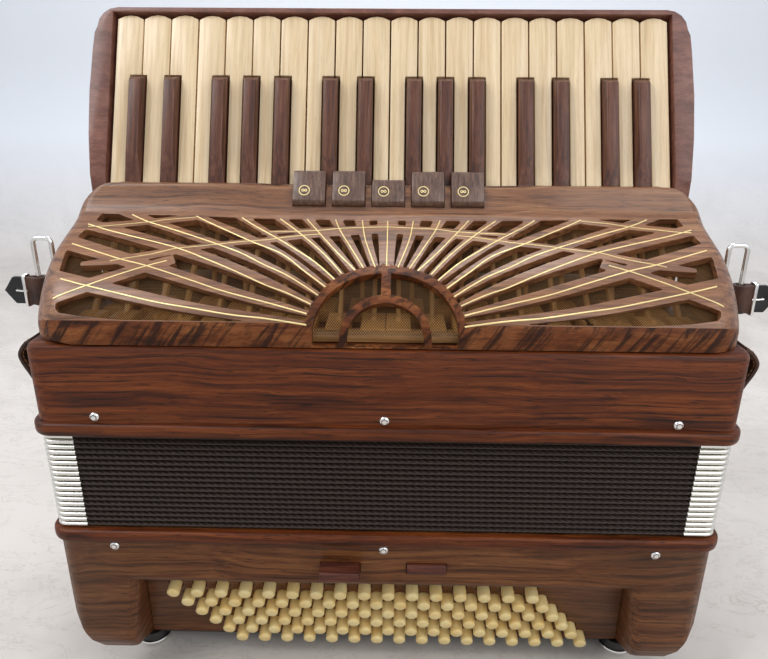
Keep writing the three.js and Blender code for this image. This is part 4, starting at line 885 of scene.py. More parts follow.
def inset_curve():
    """The crown moved in by the ends' rounding, without the loops that its bends would give."""
    moved = CROWN_YZ - CROWN_OUT * COVER_END_ROUND
    gaps = moved[:, None, :] - CROWN_YZ[None, :, :]
    clean = np.hypot(gaps[:, :, 0], gaps[:, :, 1]).min(axis=1) > COVER_END_ROUND - 0.3
    steps = np.arange(len(moved))
    return np.stack([np.interp(steps, steps[clean], moved[clean, axis]) for axis in (0, 1)], axis=1)


CROWN_INSET = inset_curve()
W_START, W_END = float(CROWN_W[0]), float(CROWN_W[-1])


def key_point(s, t):
    """(Y, Z) of a place s up the keys and t into them."""
    return (
        KEY_BASE[0] + s * math.sin(KEY_LEAN) + t * math.cos(KEY_LEAN),
        KEY_BASE[1] + s * math.cos(KEY_LEAN) - t * math.sin(KEY_LEAN),
    )


def register_centres():
    return [(index - (REGISTER_COUNT - 1) / 2) * REGISTER_PITCH for index in range(REGISTER_COUNT)]


def key_place(y, z):
    """How far a point lies up the keys and into them: the inverse of key_point."""
    back, up = y - KEY_BASE[0], z - KEY_BASE[1]
    sine, cosine = math.sin(KEY_LEAN), math.cos(KEY_LEAN)
    return back * sine + up * cosine, back * cosine - up * sine


def well_low():
    """w of the front edge of the register well."""
    return next(float(w) for w, place in zip(CROWN_W, CROWN_YZ) if key_place(*place)[0] > REGISTER_WELL_S)


WELL_W = well_low()


def eased(value, low, high):
    t = min(max((value - low) / (high - low), 0), 1)
    return t * t * (3 - 2 * t)


def scoop(x, w):
    """How much the cover is hollowed round the registers."""
    from_row, to_row = REGISTER_ROW_HALF, REGISTER_ROW_HALF + SCOOP_RUNOUT
    start = WELL_W - SCOOP_LEAD + SCOOP_BEND * eased(abs(x), from_row, to_row)
    side = 1 - eased(abs(x), from_row + 4, to_row)
    return SCOOP_DEPTH * side * eased(w, start - SCOOP_RISE, start)


def end_round(w):
    """Rounding of the ends: large at the foot, small along the crown."""
    low, high = END_ROUND_SPAN
    less = COVER_END_ROUND - COVER_END_ROUND_TOP
    return COVER_END_ROUND - less * eased(w, W_START + low, W_START + high)


def cover_half(w):
    """Half width of the cover, less at its top corners."""
    past = min(max(w - FRET_HIGH - 1, 0) / (W_END - 5 - FRET_HIGH), 1)
    return COVER_HALF - COVER_CORNER_CUT * (1 - math.sqrt(1 - past * past))


def on_crown(x, w, depth):
    """(X, Y, Z) of a place on the crown, a depth below its surface."""
    rounding = end_round(w)
    past = min(max(abs(x) - COVER_HALF + rounding, 0) / rounding, 1)
    shrink = rounding * (1 - math.sqrt(1 - past * past)) + depth + scoop(x, w)
    share = shrink / COVER_END_ROUND
    moved = CROWN_YZ * (1 - share) + CROWN_INSET * share
    y, z = (float(np.interp(w, CROWN_W, moved[:, axis])) for axis in (0, 1))
    past_plane = key_place(y, z)[1] - KEY_WELL_T
    if past_plane > 0 and abs(x) < KEY_WELL_HALF:
        y -= past_plane * math.cos(KEY_LEAN)
        z += past_plane * math.sin(KEY_LEAN)
    fixed = COVER_HALF - 2 * COVER_CORNER_CUT
    if abs(x) > fixed:
        narrowed = fixed + (abs(x) - fixed) * (cover_half(w) - fixed) / (COVER_HALF - fixed)
        x = math.copysign(narrowed, x)
    return (x, min(y, COVER_BACK - SEAT_GAP), min(max(z, COVER_LOW + SEAT_GAP), COVER_TOP))


def fret_spot(share):
    return (share[0] * FRET_HALF, FRET_LOW + share[1] * (FRET_HIGH - FRET_LOW))


def rib_outline(shares, width_shares, width, side):
    """A rib's outline along a curve, as wide along it as its shares say."""
    fine = [point.xy for point in smooth_path([(*fret_spot(share), 0) for share in shares])]
    upper, lower = [], []
    for index, spot in enumerate(fine):
        at = index / (len(fine) - 1) * (len(width_shares) - 1)
        reach = float(np.interp(at, range(len(width_shares)), width_shares)) * width / 2
        along = (fine[min(index + 1, len(fine) - 1)] - fine[max(index - 1, 0)]).normalized()
        across = Vector((-along.y, along.x)) * reach
        upper.append(spot + across)
        lower.append(spot - across)
    return [(side * p.x, p.y) for p in upper + lower[::-1]]


def arch(half, height, drop):
    turn = [math.pi * step / ARCH_STEPS for step in range(ARCH_STEPS + 1)]
    arc = [(half * math.cos(a), ARCH_BASE + height * math.sin(a)) for a in turn]
    return [(half, ARCH_BASE - drop), *arc, (-half, ARCH_BASE - drop)] if drop else arc


WINDOW, ARCH_FACE, ARCH_HOLE, SMALL_FACE, SMALL_HOLE, BAR, FIRST_RIB = range(7)


def fret_shapes():
    """The window, the two arches, each with its hole, the bar between them and the ribs."""
    right = [fret_spot(share) for share in EDGE_SHARES]
    bar_low, bar_high = ARCH_BASE + SMALL_HEIGHT - SMALL_TOP_BAND / 2, ARCH_BASE + ARCH_HEIGHT
    bar_half = ARCH_BAR / 2
    shapes = [
        right + [(-x, w) for x, w in right[-2::-1]],
        arch(ARCH_HALF, ARCH_HEIGHT, ARCH_DROP),
        arch(ARCH_HALF - ARCH_SIDE_BAND, ARCH_HEIGHT - ARCH_TOP_BAND, 0),
        arch(SMALL_HALF, SMALL_HEIGHT, ARCH_DROP),
        arch(SMALL_HALF - SMALL_SIDE_BAND, SMALL_HEIGHT - SMALL_TOP_BAND, ARCH_DROP),
        [(-bar_half, bar_low), (bar_half, bar_low), (bar_half, bar_high), (-bar_half, bar_high)],
    ]
    sets = ((RAY_SHARES, RAY_WIDTH_SHARES, RAY_WIDTH), (CROSS_SHARES, CROSS_WIDTH_SHARES, CROSS_WIDTH))
    for side in (-1, 1):
        for curves, width_shares, width in sets:
            shapes += [rib_outline(curve, widths, width, side) for curve, widths in zip(curves, width_shares)]
    return [counter_clockwise(shape) for shape in shapes]


def is_open(source):
    """Whether a cell that lies in these shapes is part of an opening."""
    if ARCH_FACE in source:
        small_ring = SMALL_FACE in source and SMALL_HOLE not in source
        return ARCH_HOLE in source and not small_ring and BAR not in source
    return WINDOW in source and max(source) < FIRST_RIB


def fret_openings():
    """Outlines of the openings: what the ribs and the arches leave of the window."""
    spots, faces = [], []
    for shape in fret_shapes():
        faces.append(list(range(len(spots), len(spots) + len(shape))))
        spots += [Vector(spot) for spot in shape]
    flat, _, cells, _, _, sources = delaunay_2d_cdt(spots, [], faces, 0, CDT_EPSILON)
    cells = [cell for cell, source in zip(cells, sources) if source and is_open(source)]
    loops = [cleaned(loop) for loop in edge_loops(border_edges(cells, [0] * len(cells)), flat)]
    loops = [loop for loop in loops if len(loop) > 2 and abs(signed_area(loop)) > SMALLEST_OPENING]
    return [counter_clockwise(loop) for loop in loops]


def in_arch(x, w):
    return (x / ARCH_HALF) ** 2 + (max(w - ARCH_BASE, 0) / ARCH_HEIGHT) ** 2 < 1


def cover_kind(x, w):
    return 1 if w < BAND_TOP or in_arch(x, w) else 0


def cover_points(loops, clear):
    """Points spread over the cover, away from the openings' edges."""
    straight = COVER_HALF - COVER_END_ROUND
    ends = end_columns()[1:]
    columns = [*np.linspace(-straight, straight, 96), *ends, *(-x for x in ends)]
    bends, counts = (W_START, FRET_LOW + 4, FRET_HIGH, W_END), (9, 26, 34)
    rows = []
    for low, high, count in zip(bends, bends[1:], counts):
        rows += list(np.linspace(low, high, count)[1:])
    edge = np.array([spot for loop in loops for spot in loop])
    wells = register_centres()
    kept = []
    for x in columns:
        for w in rows[:-1]:
            if w > WELL_W - clear and any(abs(x - well) < REGISTER_WELL_HALF + 0.6 for well in wells):
                continue
            if np.min(np.hypot(edge[:, 0] - x, edge[:, 1] - w)) > clear:
                kept.append((float(x), float(w)))
    return kept


def end_columns():
    """X of the points along the rounded ends, from the straight part outwards."""
    places = []
    for rounding in (COVER_END_ROUND, COVER_END_ROUND_TOP):
        places += [COVER_HALF - rounding * (1 - math.sin(math.pi / 2 * step / 8)) for step in range(8)]
    return sorted(places)


def cover_outline():
    """The cover's edge from its lower left corner, with notches for the registers."""
    corners = [(-COVER_HALF, W_START), (COVER_HALF, W_START), (COVER_HALF, W_END)]
    for x in reversed(register_centres()):
        right, left = x + REGISTER_WELL_HALF, x - REGISTER_WELL_HALF
        corners += [(right, W_END), (right, WELL_W), (left, WELL_W), (left, W_END)]
    corners.append((-COVER_HALF, W_END))
    straight, side = COVER_HALF - COVER_END_ROUND, COVER_HALF - 0.01
    edge = [(x, w) for x, w in resampled(corners, 4) if abs(x) < straight or abs(x) > side]
    on_right = [index for index, (x, w) in enumerate(edge) if x > side]
    first, last = on_right[0], on_right[-1] + 1
    high_left = next(index for index, (x, w) in enumerate(edge) if x < -side and w > W_END - 0.01)
    ends = end_columns()
    low_run, high_run = ([(x, w) for x in ends] for w in (W_START, W_END))
    left_run = [(-x, w) for x, w in high_run]
    upper = edge[first:last] + high_run[::-1] + edge[last:high_left] + left_run
    return edge[:first] + low_run + upper + edge[high_left:]


def cover():
    """The shell of the cover: its fretwork, its notches for the registers and its end walls."""
    loops = [softened(loop, OPENING_ROUND) for loop in fret_openings()]
    loops = [cleaned(resampled(loop, OPENING_STEP), 0.12) for loop in loops]
    lines = []
    for side in (-1, 1):
        across = np.linspace(side * (ARCH_HALF + 3), side * (COVER_HALF - 3), 41)
        lines.append([(float(x), BAND_TOP) for x in across])
        for x in (KEY_WELL_HALF - 0.1, KEY_WELL_HALF + 0.1):
            lines.append([(side * x, float(w)) for w in np.linspace(WELL_W, W_END - 0.3, 9)])
    inner = cover_points(loops, POINT_CLEARANCE)
    form = Form()
    holed_plate(form, cover_outline(), loops, COVER_WALL, on_crown, inner, lines, OPENING_EASE, cover_kind)
    cover_ends(form)
    # The first look's lighter colour is partly painted sheen.
    looks = ["sheen_lit_cover_walnut", "figured"]
    piece("cover_shell", form, looks, "treble_half", ("treble_cover",), weighted=True)


def cover_ends(form):
    """The end walls under the rounded ends."""
    levels = [step / 6 for step in range(7)]
    edge = [on_crown(COVER_HALF, float(w), 0) for w in np.linspace(W_START, W_END, 70)]
    nose = min(range(len(edge)), key=lambda row: edge[row][1])
    under = np.array([(y, z) for _, y, z in edge[: nose + 1]])[::-1]
    faces = grid_faces(len(edge) - nose, len(levels), sections_close=False)
    for side in (-1, 1):
        for inward in (0.05, COVER_WALL):
            points = []
            for x, y, z in edge[nose:]:
                on_nose = y < under[-1, 0]
                foot_z = float(np.interp(y, under[:, 0], under[:, 1])) if on_nose else COVER_LOW + SEAT_GAP
                foot_x = COVER_HALF - inward
                top_x = x if inward < 1 else x - inward
                for level in levels:
                    wall_x = foot_x + (top_x - foot_x) * level ** 3
                    points.append((side * wall_x, y, foot_z + (z - foot_z) * level))
            form.add(points, faces)


def register_wells():
    """Thin dark sheets at the backs of the slots in which the registers rock; their darkness is painted
    shade.
    """
    form = Form()
    low, high = key_point(REGISTER_WELL_S - 3, WELL_BACK_T), key_point(-1.5, WELL_BACK_T)
    section = [low, high, (high[0] + WELL_BACK, high[1]), (low[0] + WELL_BACK, low[1])]
    half = REGISTER_WELL_HALF - 0.1
    for x in register_centres():
        sweep(form, [(x - half, 0, 0), (x + half, 0, 0)], section, (0, 0, 1))
    piece("register_wells", form, ["slot_shade"], "treble_half")


def inlay():
    """Gold lines that stand a little proud of the ribs."""
    form = Form()
    for lines, width in ((INLAY_LINES, INLAY_WIDTH), (THIN_INLAY_LINES, THIN_INLAY_WIDTH)):
        for line in lines:
            for side in (-1, 1):
                if side == 1 and all(x == 0 for x, _ in line):
                    continue
                path = smooth_path([(side * x, w, 0) for x, w in line], 8)
                strip(form, [(p.x, p.y) for p in path], width)
    piece("inlay_lines", form, ["gold"], "treble_half")


def strip(form, path, width):
    """One inlaid line: a low bar with eased edges along a path on the crown."""
    half = width / 2
    left = [(-half, INLAY_SUNK), (-half, -INLAY_PROUD * 0.4), (-half * 0.5, -INLAY_PROUD)]
    section = left + [(-across, depth) for across, depth in reversed(left)]
    points = []
    for index, (x, w) in enumerate(path):
        before, after = path[max(index - 1, 0)], path[min(index + 1, len(path) - 1)]
        along = (Vector(after) - Vector(before)).normalized()
        points += [on_crown(x - along.y * across, w + along.x * across, depth) for across, depth in section]
    size = len(section)
    faces = grid_faces(len(path), size)
    faces.append(list(range(size)))
    faces.append([(len(path) - 1) * size + corner for corner in reversed(range(size))])
    form.add(points, faces)


def gauze_sheet():
    half = COVER_HALF - GAUZE_INSET
    columns = [float(x) for x in np.linspace(-half, half, 90)]
    rows = [float(w) for w in np.linspace(W_START + 4, FRET_HIGH + 0.6, 36)]
    front = COVER_WALL + GAUZE_GAP
    points = []
    for w in rows:
        points += [on_crown(x, w, front) for x in columns]
        points += [on_crown(x, w, front + GAUZE_THICKNESS) for x in reversed(columns)]
    wide = len(columns)
    faces = grid_faces(len(rows), 2 * wide)
    for start in (0, (len(rows) - 1) * 2 * wide):
        end = start + 2 * wide - 1
        faces += [[start + step, start + step + 1, end - step - 1, end - step] for step in range(wide - 1)]
    form = Form()
    form.add(points, faces)
    piece("gauze_sheet", form, ["gauze"], "treble_half", ("grille_mesh",))


def front_ledge():
    """Pale inner ledge, seen through the gauze."""
    form = Form()
    front, half = -HALF_DEPTH + LEDGE_SETBACK, HALF_WIDTH - LEDGE_INSET
    low, high = COVER_LOW + SEAT_GAP, COVER_LOW + LEDGE_HEIGHT
    rounded_box(form, (-half, front, low), (half, front + LEDGE_DEPTH, high), 0.8)
    piece("inner_ledge", form, ["ledge"], "treble_half")


# Bass end


def board_point(x, down, depth):
    return (
        x,
        BOARD_TOP_Y + down * math.sin(BOARD_TILT) + depth * math.cos(BOARD_TILT),
        RECESS_LIP - down * math.cos(BOARD_TILT) + depth * math.sin(BOARD_TILT),
    )


def button_places(rows):
    return [
        (BUTTON_FIRST_X + row * BUTTON_ROW_SHIFT + button * BUTTON_PITCH,
         BUTTON_FIRST_DROP + row * BUTTON_ROW_PITCH)
        for row in rows
        for button in range(BUTTONS_PER_ROW)
    ]


def button_board():
    form = Form()
    tall = (RECESS_LIP - SEAT_GAP - BASS_LOW) / math.cos(BOARD_TILT) - 1.2
    top, low = RECESS_HALF - 0.1, RECESS_HALF + RECESS_FLARE - 0.2
    outline = resampled([(-top, 0.8), (top, 0.8), (low, tall), (-low, tall)], 8)
    hole = oval(BUTTON_RADIUS + 0.75, BUTTON_RADIUS + 0.75, 20)
    holes = [[(x + a, down + b) for a, b in hole] for x, down in button_places(range(BUTTON_ROWS))]
    holed_plate(form, outline, holes, BOARD_THICKNESS, board_point, edge=0.35)
    piece("board_plate", form, ["walnut"], "bass_half", ("bass_button_board",), weighted=True)


def buttons(name, rows, body, node):
    form = Form()
    inward = Vector((0, math.cos(BOARD_TILT), math.sin(BOARD_TILT)))
    turn = [math.pi / 2 * step / 7 for step in range(8)]
    crown = [(BUTTON_RADIUS * math.sin(a), BUTTON_CROWN * (1 - math.cos(a) ** 0.8)) for a in turn]
    profile = [*crown, (BUTTON_RADIUS, BUTTON_LENGTH), (0, BUTTON_LENGTH)]
    for x, down in button_places(rows):
        lathe(form, profile, board_point(x, down, -BUTTON_PROUD), inward, 20)
    piece(name, form, ["ivory"], body, (node,), sharp=50)


def dome_pins(name, z, body):
    form = Form()
    dome = dome_profile(3.2, 1.8, 0.25, 10)
    for x in (-HALF_WIDTH + PIN_INSET, 0, HALF_WIDTH - PIN_INSET):
        for side in (-1, 1):
            lathe(form, dome, (x, side * (HALF_DEPTH - 0.05), z), (0, side, 0))
    piece(name, form, ["chrome"], body)


def rim_bead(name, low, body):
    """Rounded bead round the edge of one half, just over the faceted one."""
    form = Form()
    reach = RIM_PROUD - 2
    plan = resampled(rounded_loop(HALF_WIDTH + reach, HALF_DEPTH + reach, 12, 10), 24)
    lower = [(-3, -4.3), (0.4, -4.3), (1.4, -3.9), (2.05, -3), (2.3, -1.6), (2.35, 0)]
    section = [(-out, height) for out, height in lower] + [(-out, -height) for out, height in lower[-2::-1]]
    sweep(form, [(x, y, low + RIM_HEIGHT / 2) for x, y in plan], section, (0, 0, 1), True)
    piece(name, form, ["walnut_front"], body, sharp=50)


def bottom_plate_and_feet():
    plate = Form()
    top = BASS_LOW - SEAT_GAP
    half = HALF_WIDTH - FOOT_INSET
    front, back = -HALF_DEPTH + FOOT_INSET - 4.2, HALF_DEPTH - PLATE_SETBACK
    rounded_box(plate, (-half, front, top - 2), (half, back, top), 0.4)
    piece("bottom_cover", plate, ["black"], "bass_half", ("bass_bottom_plate",))
    feet = Form()
    cup = [(0, 0), (8.2, 0), (8.5, 0.3), (10.2, 1.6), (11.8, 3.4), (12.5, 5.2), (12.5, 6.2), (12.1, 6.9),
           (11.3, 7.1), (11, 6.6), (0, 6.6)]
    stem = [(0, 6.2), (10.8, 6.2), (10.8, 7.4), (10.2, 9.4), (9.8, top), (0, top)]
    for x in (-HALF_WIDTH + PIN_INSET, HALF_WIDTH - PIN_INSET):
        for y in (-HALF_DEPTH + FOOT_INSET, HALF_DEPTH - FOOT_INSET):
            for kind, profile in enumerate((cup, stem)):
                lathe(feet, profile, (x, y, 0), (0, 0, 1), 40, kind)
    piece("feet", feet, ["chrome", "black"], "bass_half")


def hand_strap():
    form = Form()
    high = BASS_LOW - SEAT_GAP - HAND_STRAP_DROP
    end = HALF_WIDTH - FOOT_INSET - HAND_STRAP_INSET
    middle = HALF_DEPTH - PLATE_SETBACK - 40
    half, thin, z = HAND_STRAP_WIDTH / 2, HAND_STRAP_THICKNESS / 2, high - 2
    left = [(-end, z), (-end + 10, z), (-end + 18, z - 0.4), (-end + 32, HAND_STRAP_LOW)]
    spots = left + [(0, HAND_STRAP_LOW)] + [(-x, up) for x, up in reversed(left)]
    path = smooth_path([(x, middle, up) for x, up in spots], 8)
    sweep(form, path, rounded_loop(thin, half, 1.2), (0, 1, 0))
    stitches(form, path, (0, 1, 0), half - 4, thin)
    for x in (9 - end, end - 9):
        low_corner, high_corner = (x - 5, middle - half + 4, high - 5), (x + 5, middle + half - 4, high - 3.9)
        rounded_box(form, low_corner, high_corner, 0.4, 2)
    piece("hand_strap", form, ["leather", "ledge", "chrome"], "bass_half", ("bass_hand_strap",))


def stitches(form, path, side, reach, out):
    """Short threads along both edges of a strap, on both of its faces."""
    side = Vector(side).normalized()
    lengths = np.cumsum([0] + [(Vector(b) - Vector(a)).length for a, b in zip(path, path[1:])])
    spots = np.array([tuple(point) for point in path])
    start = 2.0
    while start + STITCH_LENGTH < lengths[-1]:
        first, last = (
            Vector([float(np.interp(at, lengths, spots[:, axis])) for axis in range(3)])
            for at in (start, start + STITCH_LENGTH)
        )
        outward = side.cross((last - first).normalized())
        for edge in (-reach, reach):
            for face in (-out, out):
                low = side * edge + outward * face * 0.9
                high = side * edge + outward * (face + math.copysign(0.18, face))
                run = [first + low, first.lerp(last, 0.5) + high, last + low]
                sweep(form, run, oval(0.28, 0.28, 6), side, kind=1)
        start += STITCH_STEP


def air_button():
    form = Form()
    low, seat, top = BASS_LOW - 6, BASS_LOW + 6.3, BASS_LOW + 9.3
    profile = [(0, low), (5.4, low), (7, low + 0.5), (7.8, low + 1.6), (8, low + 3), (8, seat), (10.5, seat),
               (10.5, top), (0, top)]
    place = (HALF_WIDTH - AIR_BUTTON_INSET, -HALF_DEPTH + AIR_BUTTON_SETBACK, 0)
    lathe(form, profile, place, (0, 0, 1), 40)
    piece("air_knob", form, ["chrome"], "air_valve", ("air_button",))


# Bellows


def bellows():
    """The folds, from the outer loop of each ring inwards, and the bore through them."""
    form = Form()
    valley = [(2.2, 0.16), (0.55, 0.32), (0.06, 0.44)]
    profile = [(FOLD_DEPTH, 0)] + valley + [(inset, 1 - up) for inset, up in reversed(valley)]
    rings = []
    for fold in range(FOLDS):
        rings += [(inset, BELLOWS_LOW + (fold + up) * FOLD_PITCH) for inset, up in profile]
    rings.append((FOLD_DEPTH, BELLOWS_HIGH))
    plan = rounded_loop(HALF_WIDTH - BELLOWS_INSET, HALF_DEPTH - BELLOWS_INSET, BELLOWS_ROUND, 6)
    outer = resampled(plan, 14)
    bore = resampled(rounded_loop(HALF_WIDTH - BORE_INSET, HALF_DEPTH - BORE_INSET, 6, 6), 14)
    inward = []
    for index in range(len(outer)):
        along = (Vector(outer[(index + 1) % len(outer)]) - Vector(outer[index - 1])).normalized()
        inward.append((-along.y, along.x))
    folds = []
    for inset, z in rings:
        folds += [(x + n[0] * inset, y + n[1] * inset, z) for (x, y), n in zip(outer, inward)]
    form.add(folds, grid_faces(len(rings), len(outer)))
    form.add([(x, y, z) for _, z in rings for x, y in bore], grid_faces(len(rings), len(bore)))
    for row in (0, len(rings) - 1):
        outer_row = range(row * len(outer), (row + 1) * len(outer))
        bore_row = range(len(folds) + row * len(bore), len(folds) + (row + 1) * len(bore))
        join_loops(form, outer_row, bore_row)
    return piece("bellows_folds", form, ["bellows"], None, ("bellows",), sharp=60)


def join_loops(form, outer, inner):
    """Fills the flat ring between two loops that start at the same side."""
    i = j = 0
    while i < len(outer) or j < len(inner):
        a, b = outer[i % len(outer)], inner[j % len(inner)]
        if j >= len(inner) or (i < len(outer) and i / len(outer) <= j / len(inner)):
            form.faces.append([a, outer[(i + 1) % len(outer)], b])
            i += 1
        else:
            form.faces.append([a, inner[(j + 1) % len(inner)], b])
            j += 1
        form.kinds.append(0)


def bellows_corners():
    """A bright metal cap on each corner of each fold."""
    form = Form()
    half_x, half_y = HALF_WIDTH - BELLOWS_INSET, HALF_DEPTH - BELLOWS_INSET
    cx, cy = half_x - BELLOWS_ROUND, half_y - BELLOWS_ROUND
    leg = CORNER_CAP_LENGTH - BELLOWS_ROUND
    turn = [math.pi / 2 * step / 6 for step in range(7)]
    arc = [(cx + BELLOWS_ROUND * math.sin(a), cy + BELLOWS_ROUND * math.cos(a)) for a in turn]
    plan = [(cx - leg, half_y), (cx - leg / 2, half_y), *arc, (half_x, cy - leg / 2), (half_x, cy - leg)]
    lower = [(2, -0.4), (0.5, -0.38), (-0.2, -0.28), (-0.55, -0.12), (-0.62, 0)]
    section = [(out, up * FOLD_PITCH) for out, up in lower + [(out, -up) for out, up in lower[-2::-1]]]
    for fold in range(FOLDS):
        z = BELLOWS_LOW + (fold + 0.5) * FOLD_PITCH
        for sx in (-1, 1):
            for sy in (-1, 1):
                path = [(sx * x, sy * y, z) for x, y in plan]
                sweep(form, path[::-1] if sx * sy > 0 else path, section, (0, 0, 1))
    return piece("bellows_corners", form, ["bright_steel"], None, sharp=50)


# Straps


def closing_strap(side, node, body):
    form = Form()
    inner = HALF_WIDTH + RIM_PROUD + SEAT_GAP
    thin, half = CLOSING_THICKNESS / 2, CLOSING_WIDTH / 2
    mid, y = inner + thin, -HALF_DEPTH + CLOSING_SETBACK
    rim = BELLOWS_HIGH + SEAT_GAP + RIM_HEIGHT
    low = BELLOWS_LOW - SEAT_GAP - RIM_HEIGHT - 22
    spots = [(0, low + 1), (0, low + 30), (0, rim - 20), (0, rim + 10), (3.4, rim + 20), (8.2, rim + 30),
             (9, rim + 36), (5, rim + 42), (0.4, rim + 45)]
    path = smooth_path([(side * (mid + out), y, z) for out, z in spots])
    sweep(form, path, rounded_loop(thin, half, 0.9), (0, 1, 0))
    stitches(form, path, (0, 1, 0), half - 1.8, thin)
    stud = [(0, -1.2), (4.7, -1.2), (4.7, 0.2), (4.4, 0.5), (3.6, 0.6), (3.2, 1.2), (2, 1.8), (0, 2)]
    for out, z in ((thin, low + 11), (thin + 8.4, rim + 33.5)):
        lathe(form, stud, (side * (mid + out), y, z), (side, 0, 0), 28, 2)
    piece(f"{node}_leather", form, ["leather", "ledge", "chrome"], body, (node,))


def ring_places():
    """X of a ring's inner and outer leg, its lowest and highest Z, and its Y."""
    inner, low = COVER_HALF + RING_GAP, COVER_LOW + 2
    return inner, inner + RING_WIDTH, low, low + RING_HEIGHT, -HALF_DEPTH + RING_SETBACK


def strap_ring(side, node, body):
    form = Form()
    inner, outer, low, high, y = ring_places()
    loop = rounded_loop(RING_WIDTH / 2, RING_HEIGHT / 2, RING_ROUND, 6)
    path = [(side * ((inner + outer) / 2 + x), y, (low + high) / 2 + z) for x, z in loop]
    sweep(form, path, oval(WIRE_RADIUS, WIRE_RADIUS, 14), (0, 1, 0), closed=True)
    piece(f"{node}_wire", form, ["chrome"], body, (node,), sharp=60)


def strap_bracket(side, name):
    form = Form()
    inner, _, _, _, y = ring_places()
    low = COVER_LOW + 4

    def box(x0, x1, half_y, z0, z1, radius):
        x0, x1 = sorted((side * x0, side * x1))
        rounded_box(form, (x0, y - half_y, z0), (x1, y + half_y, z1), radius)

    box(COVER_HALF - 0.3, COVER_HALF + 1.9, 10, low, low + 27, 0.8)
    for z in (low, low + 24):
        knuckle = [(0, 0), (3.1, 0), (3.5, 0.4), (3.5, 3.6), (3.1, 4), (0, 4)]
        lathe(form, knuckle, (side * inner, y, z), (0, 0, 1), 24)
        box(COVER_HALF, inner, 1.8, z + 0.2, z + 3.8, 0.3)
    for offset in (-6.5, 6.5):
        rivet = (side * (COVER_HALF + 1.7), y + offset, low + 13.5)
        lathe(form, dome_profile(1.9, 1.0, 0.2), rivet, (side, 0, 0), 20)
    piece(name, form, ["chrome"], "treble_half")


def strap_end(side, node, body):
    """A short strap round the ring, its buckle and its pointed end."""
    form = Form()
    _, eye_x, low, _, y = ring_places()
    half = TAIL_WIDTH / 2
    mid_z = low + 1 + 2 * WIRE_RADIUS + half
    radius = WIRE_RADIUS * math.sqrt(2) + 0.25 + TAIL_THICKNESS / 2
    turn = [math.radians(a) for a in range(-135, 136, 15)]
    eye = [(-radius * math.cos(a), radius * math.sin(a)) for a in turn]
    loop = [(8, -1.45), (4.6, -2.2), *eye, (4.6, 2.2), (8, 1.45)]
    path = [(side * (eye_x + x), y + dy, mid_z) for x, dy in loop]
    sweep(form, path, rounded_loop(TAIL_THICKNESS / 2 - 0.3, half, 0.7), (0, 0, 1))
    tail_end(form, side, eye_x, y, mid_z)
    buckle(form, side, eye_x + 9, y, mid_z)
    piece(f"{node}_leather", form, ["leather", "black_leather", "chrome"], body, (node,))


def tail_end(form, side, eye_x, y, mid_z):
    end, tip, half = eye_x + 23.9, 6.5, TAIL_WIDTH / 2 - 0.4
    upper = [(end - 0.8, 1), (end - tip, half), (eye_x + 5, half)]
    flat = [(x, -z) for x, z in reversed(upper)] + [(end, 0)] + upper
    outline = resampled(cleaned(softened(flat, 1.2), 0.1), 3)
    hole = [(eye_x + 16 + a, b) for a, b in oval(1.1, 1.1, 14)]

    def place(x, z, depth):
        return (side * x, y - 1.3 + depth, mid_z + z)

    holed_plate(form, outline, [hole], 2.6, place, edge=0.3, kind_of=lambda x, z: 1)


def buckle(form, side, x, y, mid_z):
    frame_loop = rounded_loop(2.8, TAIL_WIDTH / 2 + 1, 0.9)
    path = [(side * x, y + dy, mid_z + dz) for dy, dz in frame_loop]
    sweep(form, path, oval(0.95, 1.3, 10), (1, 0, 0), closed=True, kind=2)
    prong = [(side * (x + dx), y + dy, mid_z) for dx, dy in ((-1.5, -2.9), (3, -2.4), (7, -1.2))]
    sweep(form, prong, oval(0.7, 0.7, 8), (0, 0, 1), kind=2)


# Registers


def register_drop(index):
    """How far one register stands below an untouched one, and in which direction."""
    lows = [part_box(f"treble_register_{number}")[0] / MM for number in (index + 1, 1)]
    drop = lows[0] - lows[1]
    return Vector((0, drop.y, drop.z))


def register_tabs():
    """Long bevelled tabs with a ring and two dots on each, drawn as (up the keys, into them)."""
    for index, centre in enumerate(register_centres()):
        drop = register_drop(index)
        length = TAB_FACE_LENGTH - drop.length
        end_s, end_t = TAB_FACE_TOP - length, TAB_FACE_T - length * TAB_FACE_LIFT / TAB_FACE_LENGTH
        profile = [
            (TAB_LOW_S, TAB_BACK_T), (TAB_HIGH_S, TAB_BACK_T), (TAB_HIGH_S, TAB_FACE_T + 1.2),
            (TAB_FACE_TOP, TAB_FACE_T), (end_s, end_t), (end_s - 3, end_t + 2.2),
            (end_s - 3, TAB_BACK_T - 2.2), (TAB_LOW_S, TAB_BACK_T - 2.2),
        ]
        section = [Vector((0, *key_point(*spot))) + drop for spot in profile]
        form = Form()
        prism(form, section, centre - REGISTER_WIDTH / 2, centre + REGISTER_WIDTH / 2, 0.55)
        body, node = f"register_{index + 1}", f"treble_register_{index + 1}"
        piece(f"register_tab_{index + 1}", form, ["register"], body, (node,), sharp=30)
        high, low = section[3], section[4]
        up = (high - low).normalized()
        symbol(index, centre - 3.2, low + up * 7.2, up)


def symbol(index, x, middle, up):
    """A ring with two dots in it, each a thin flat band."""
    form = Form()
    out = Vector((0, -up.z, up.y))
    out = -out if out.y > 0 else out
    steps = 28
    for offset, radius, half in ((0, RING_MARK, 0.3), (-1, DOT_MARK, 0.28), (1, DOT_MARK, 0.28)):
        points = []
        for step in range(steps):
            angle = 2 * math.pi * step / steps
            for reach, lift in ((-half, -0.05), (-half, 0.1), (half, 0.1), (half, -0.05)):
                spot = middle + up * (radius + reach) * math.sin(angle) + out * lift
                points.append((x + offset + (radius + reach) * math.cos(angle), spot.y, spot.z))
        form.add(points, grid_faces(steps, 4, rows_close=True))
    piece(f"register_symbol_{index + 1}", form, ["gold"], f"register_{index + 1}")


# Carried-over nodes


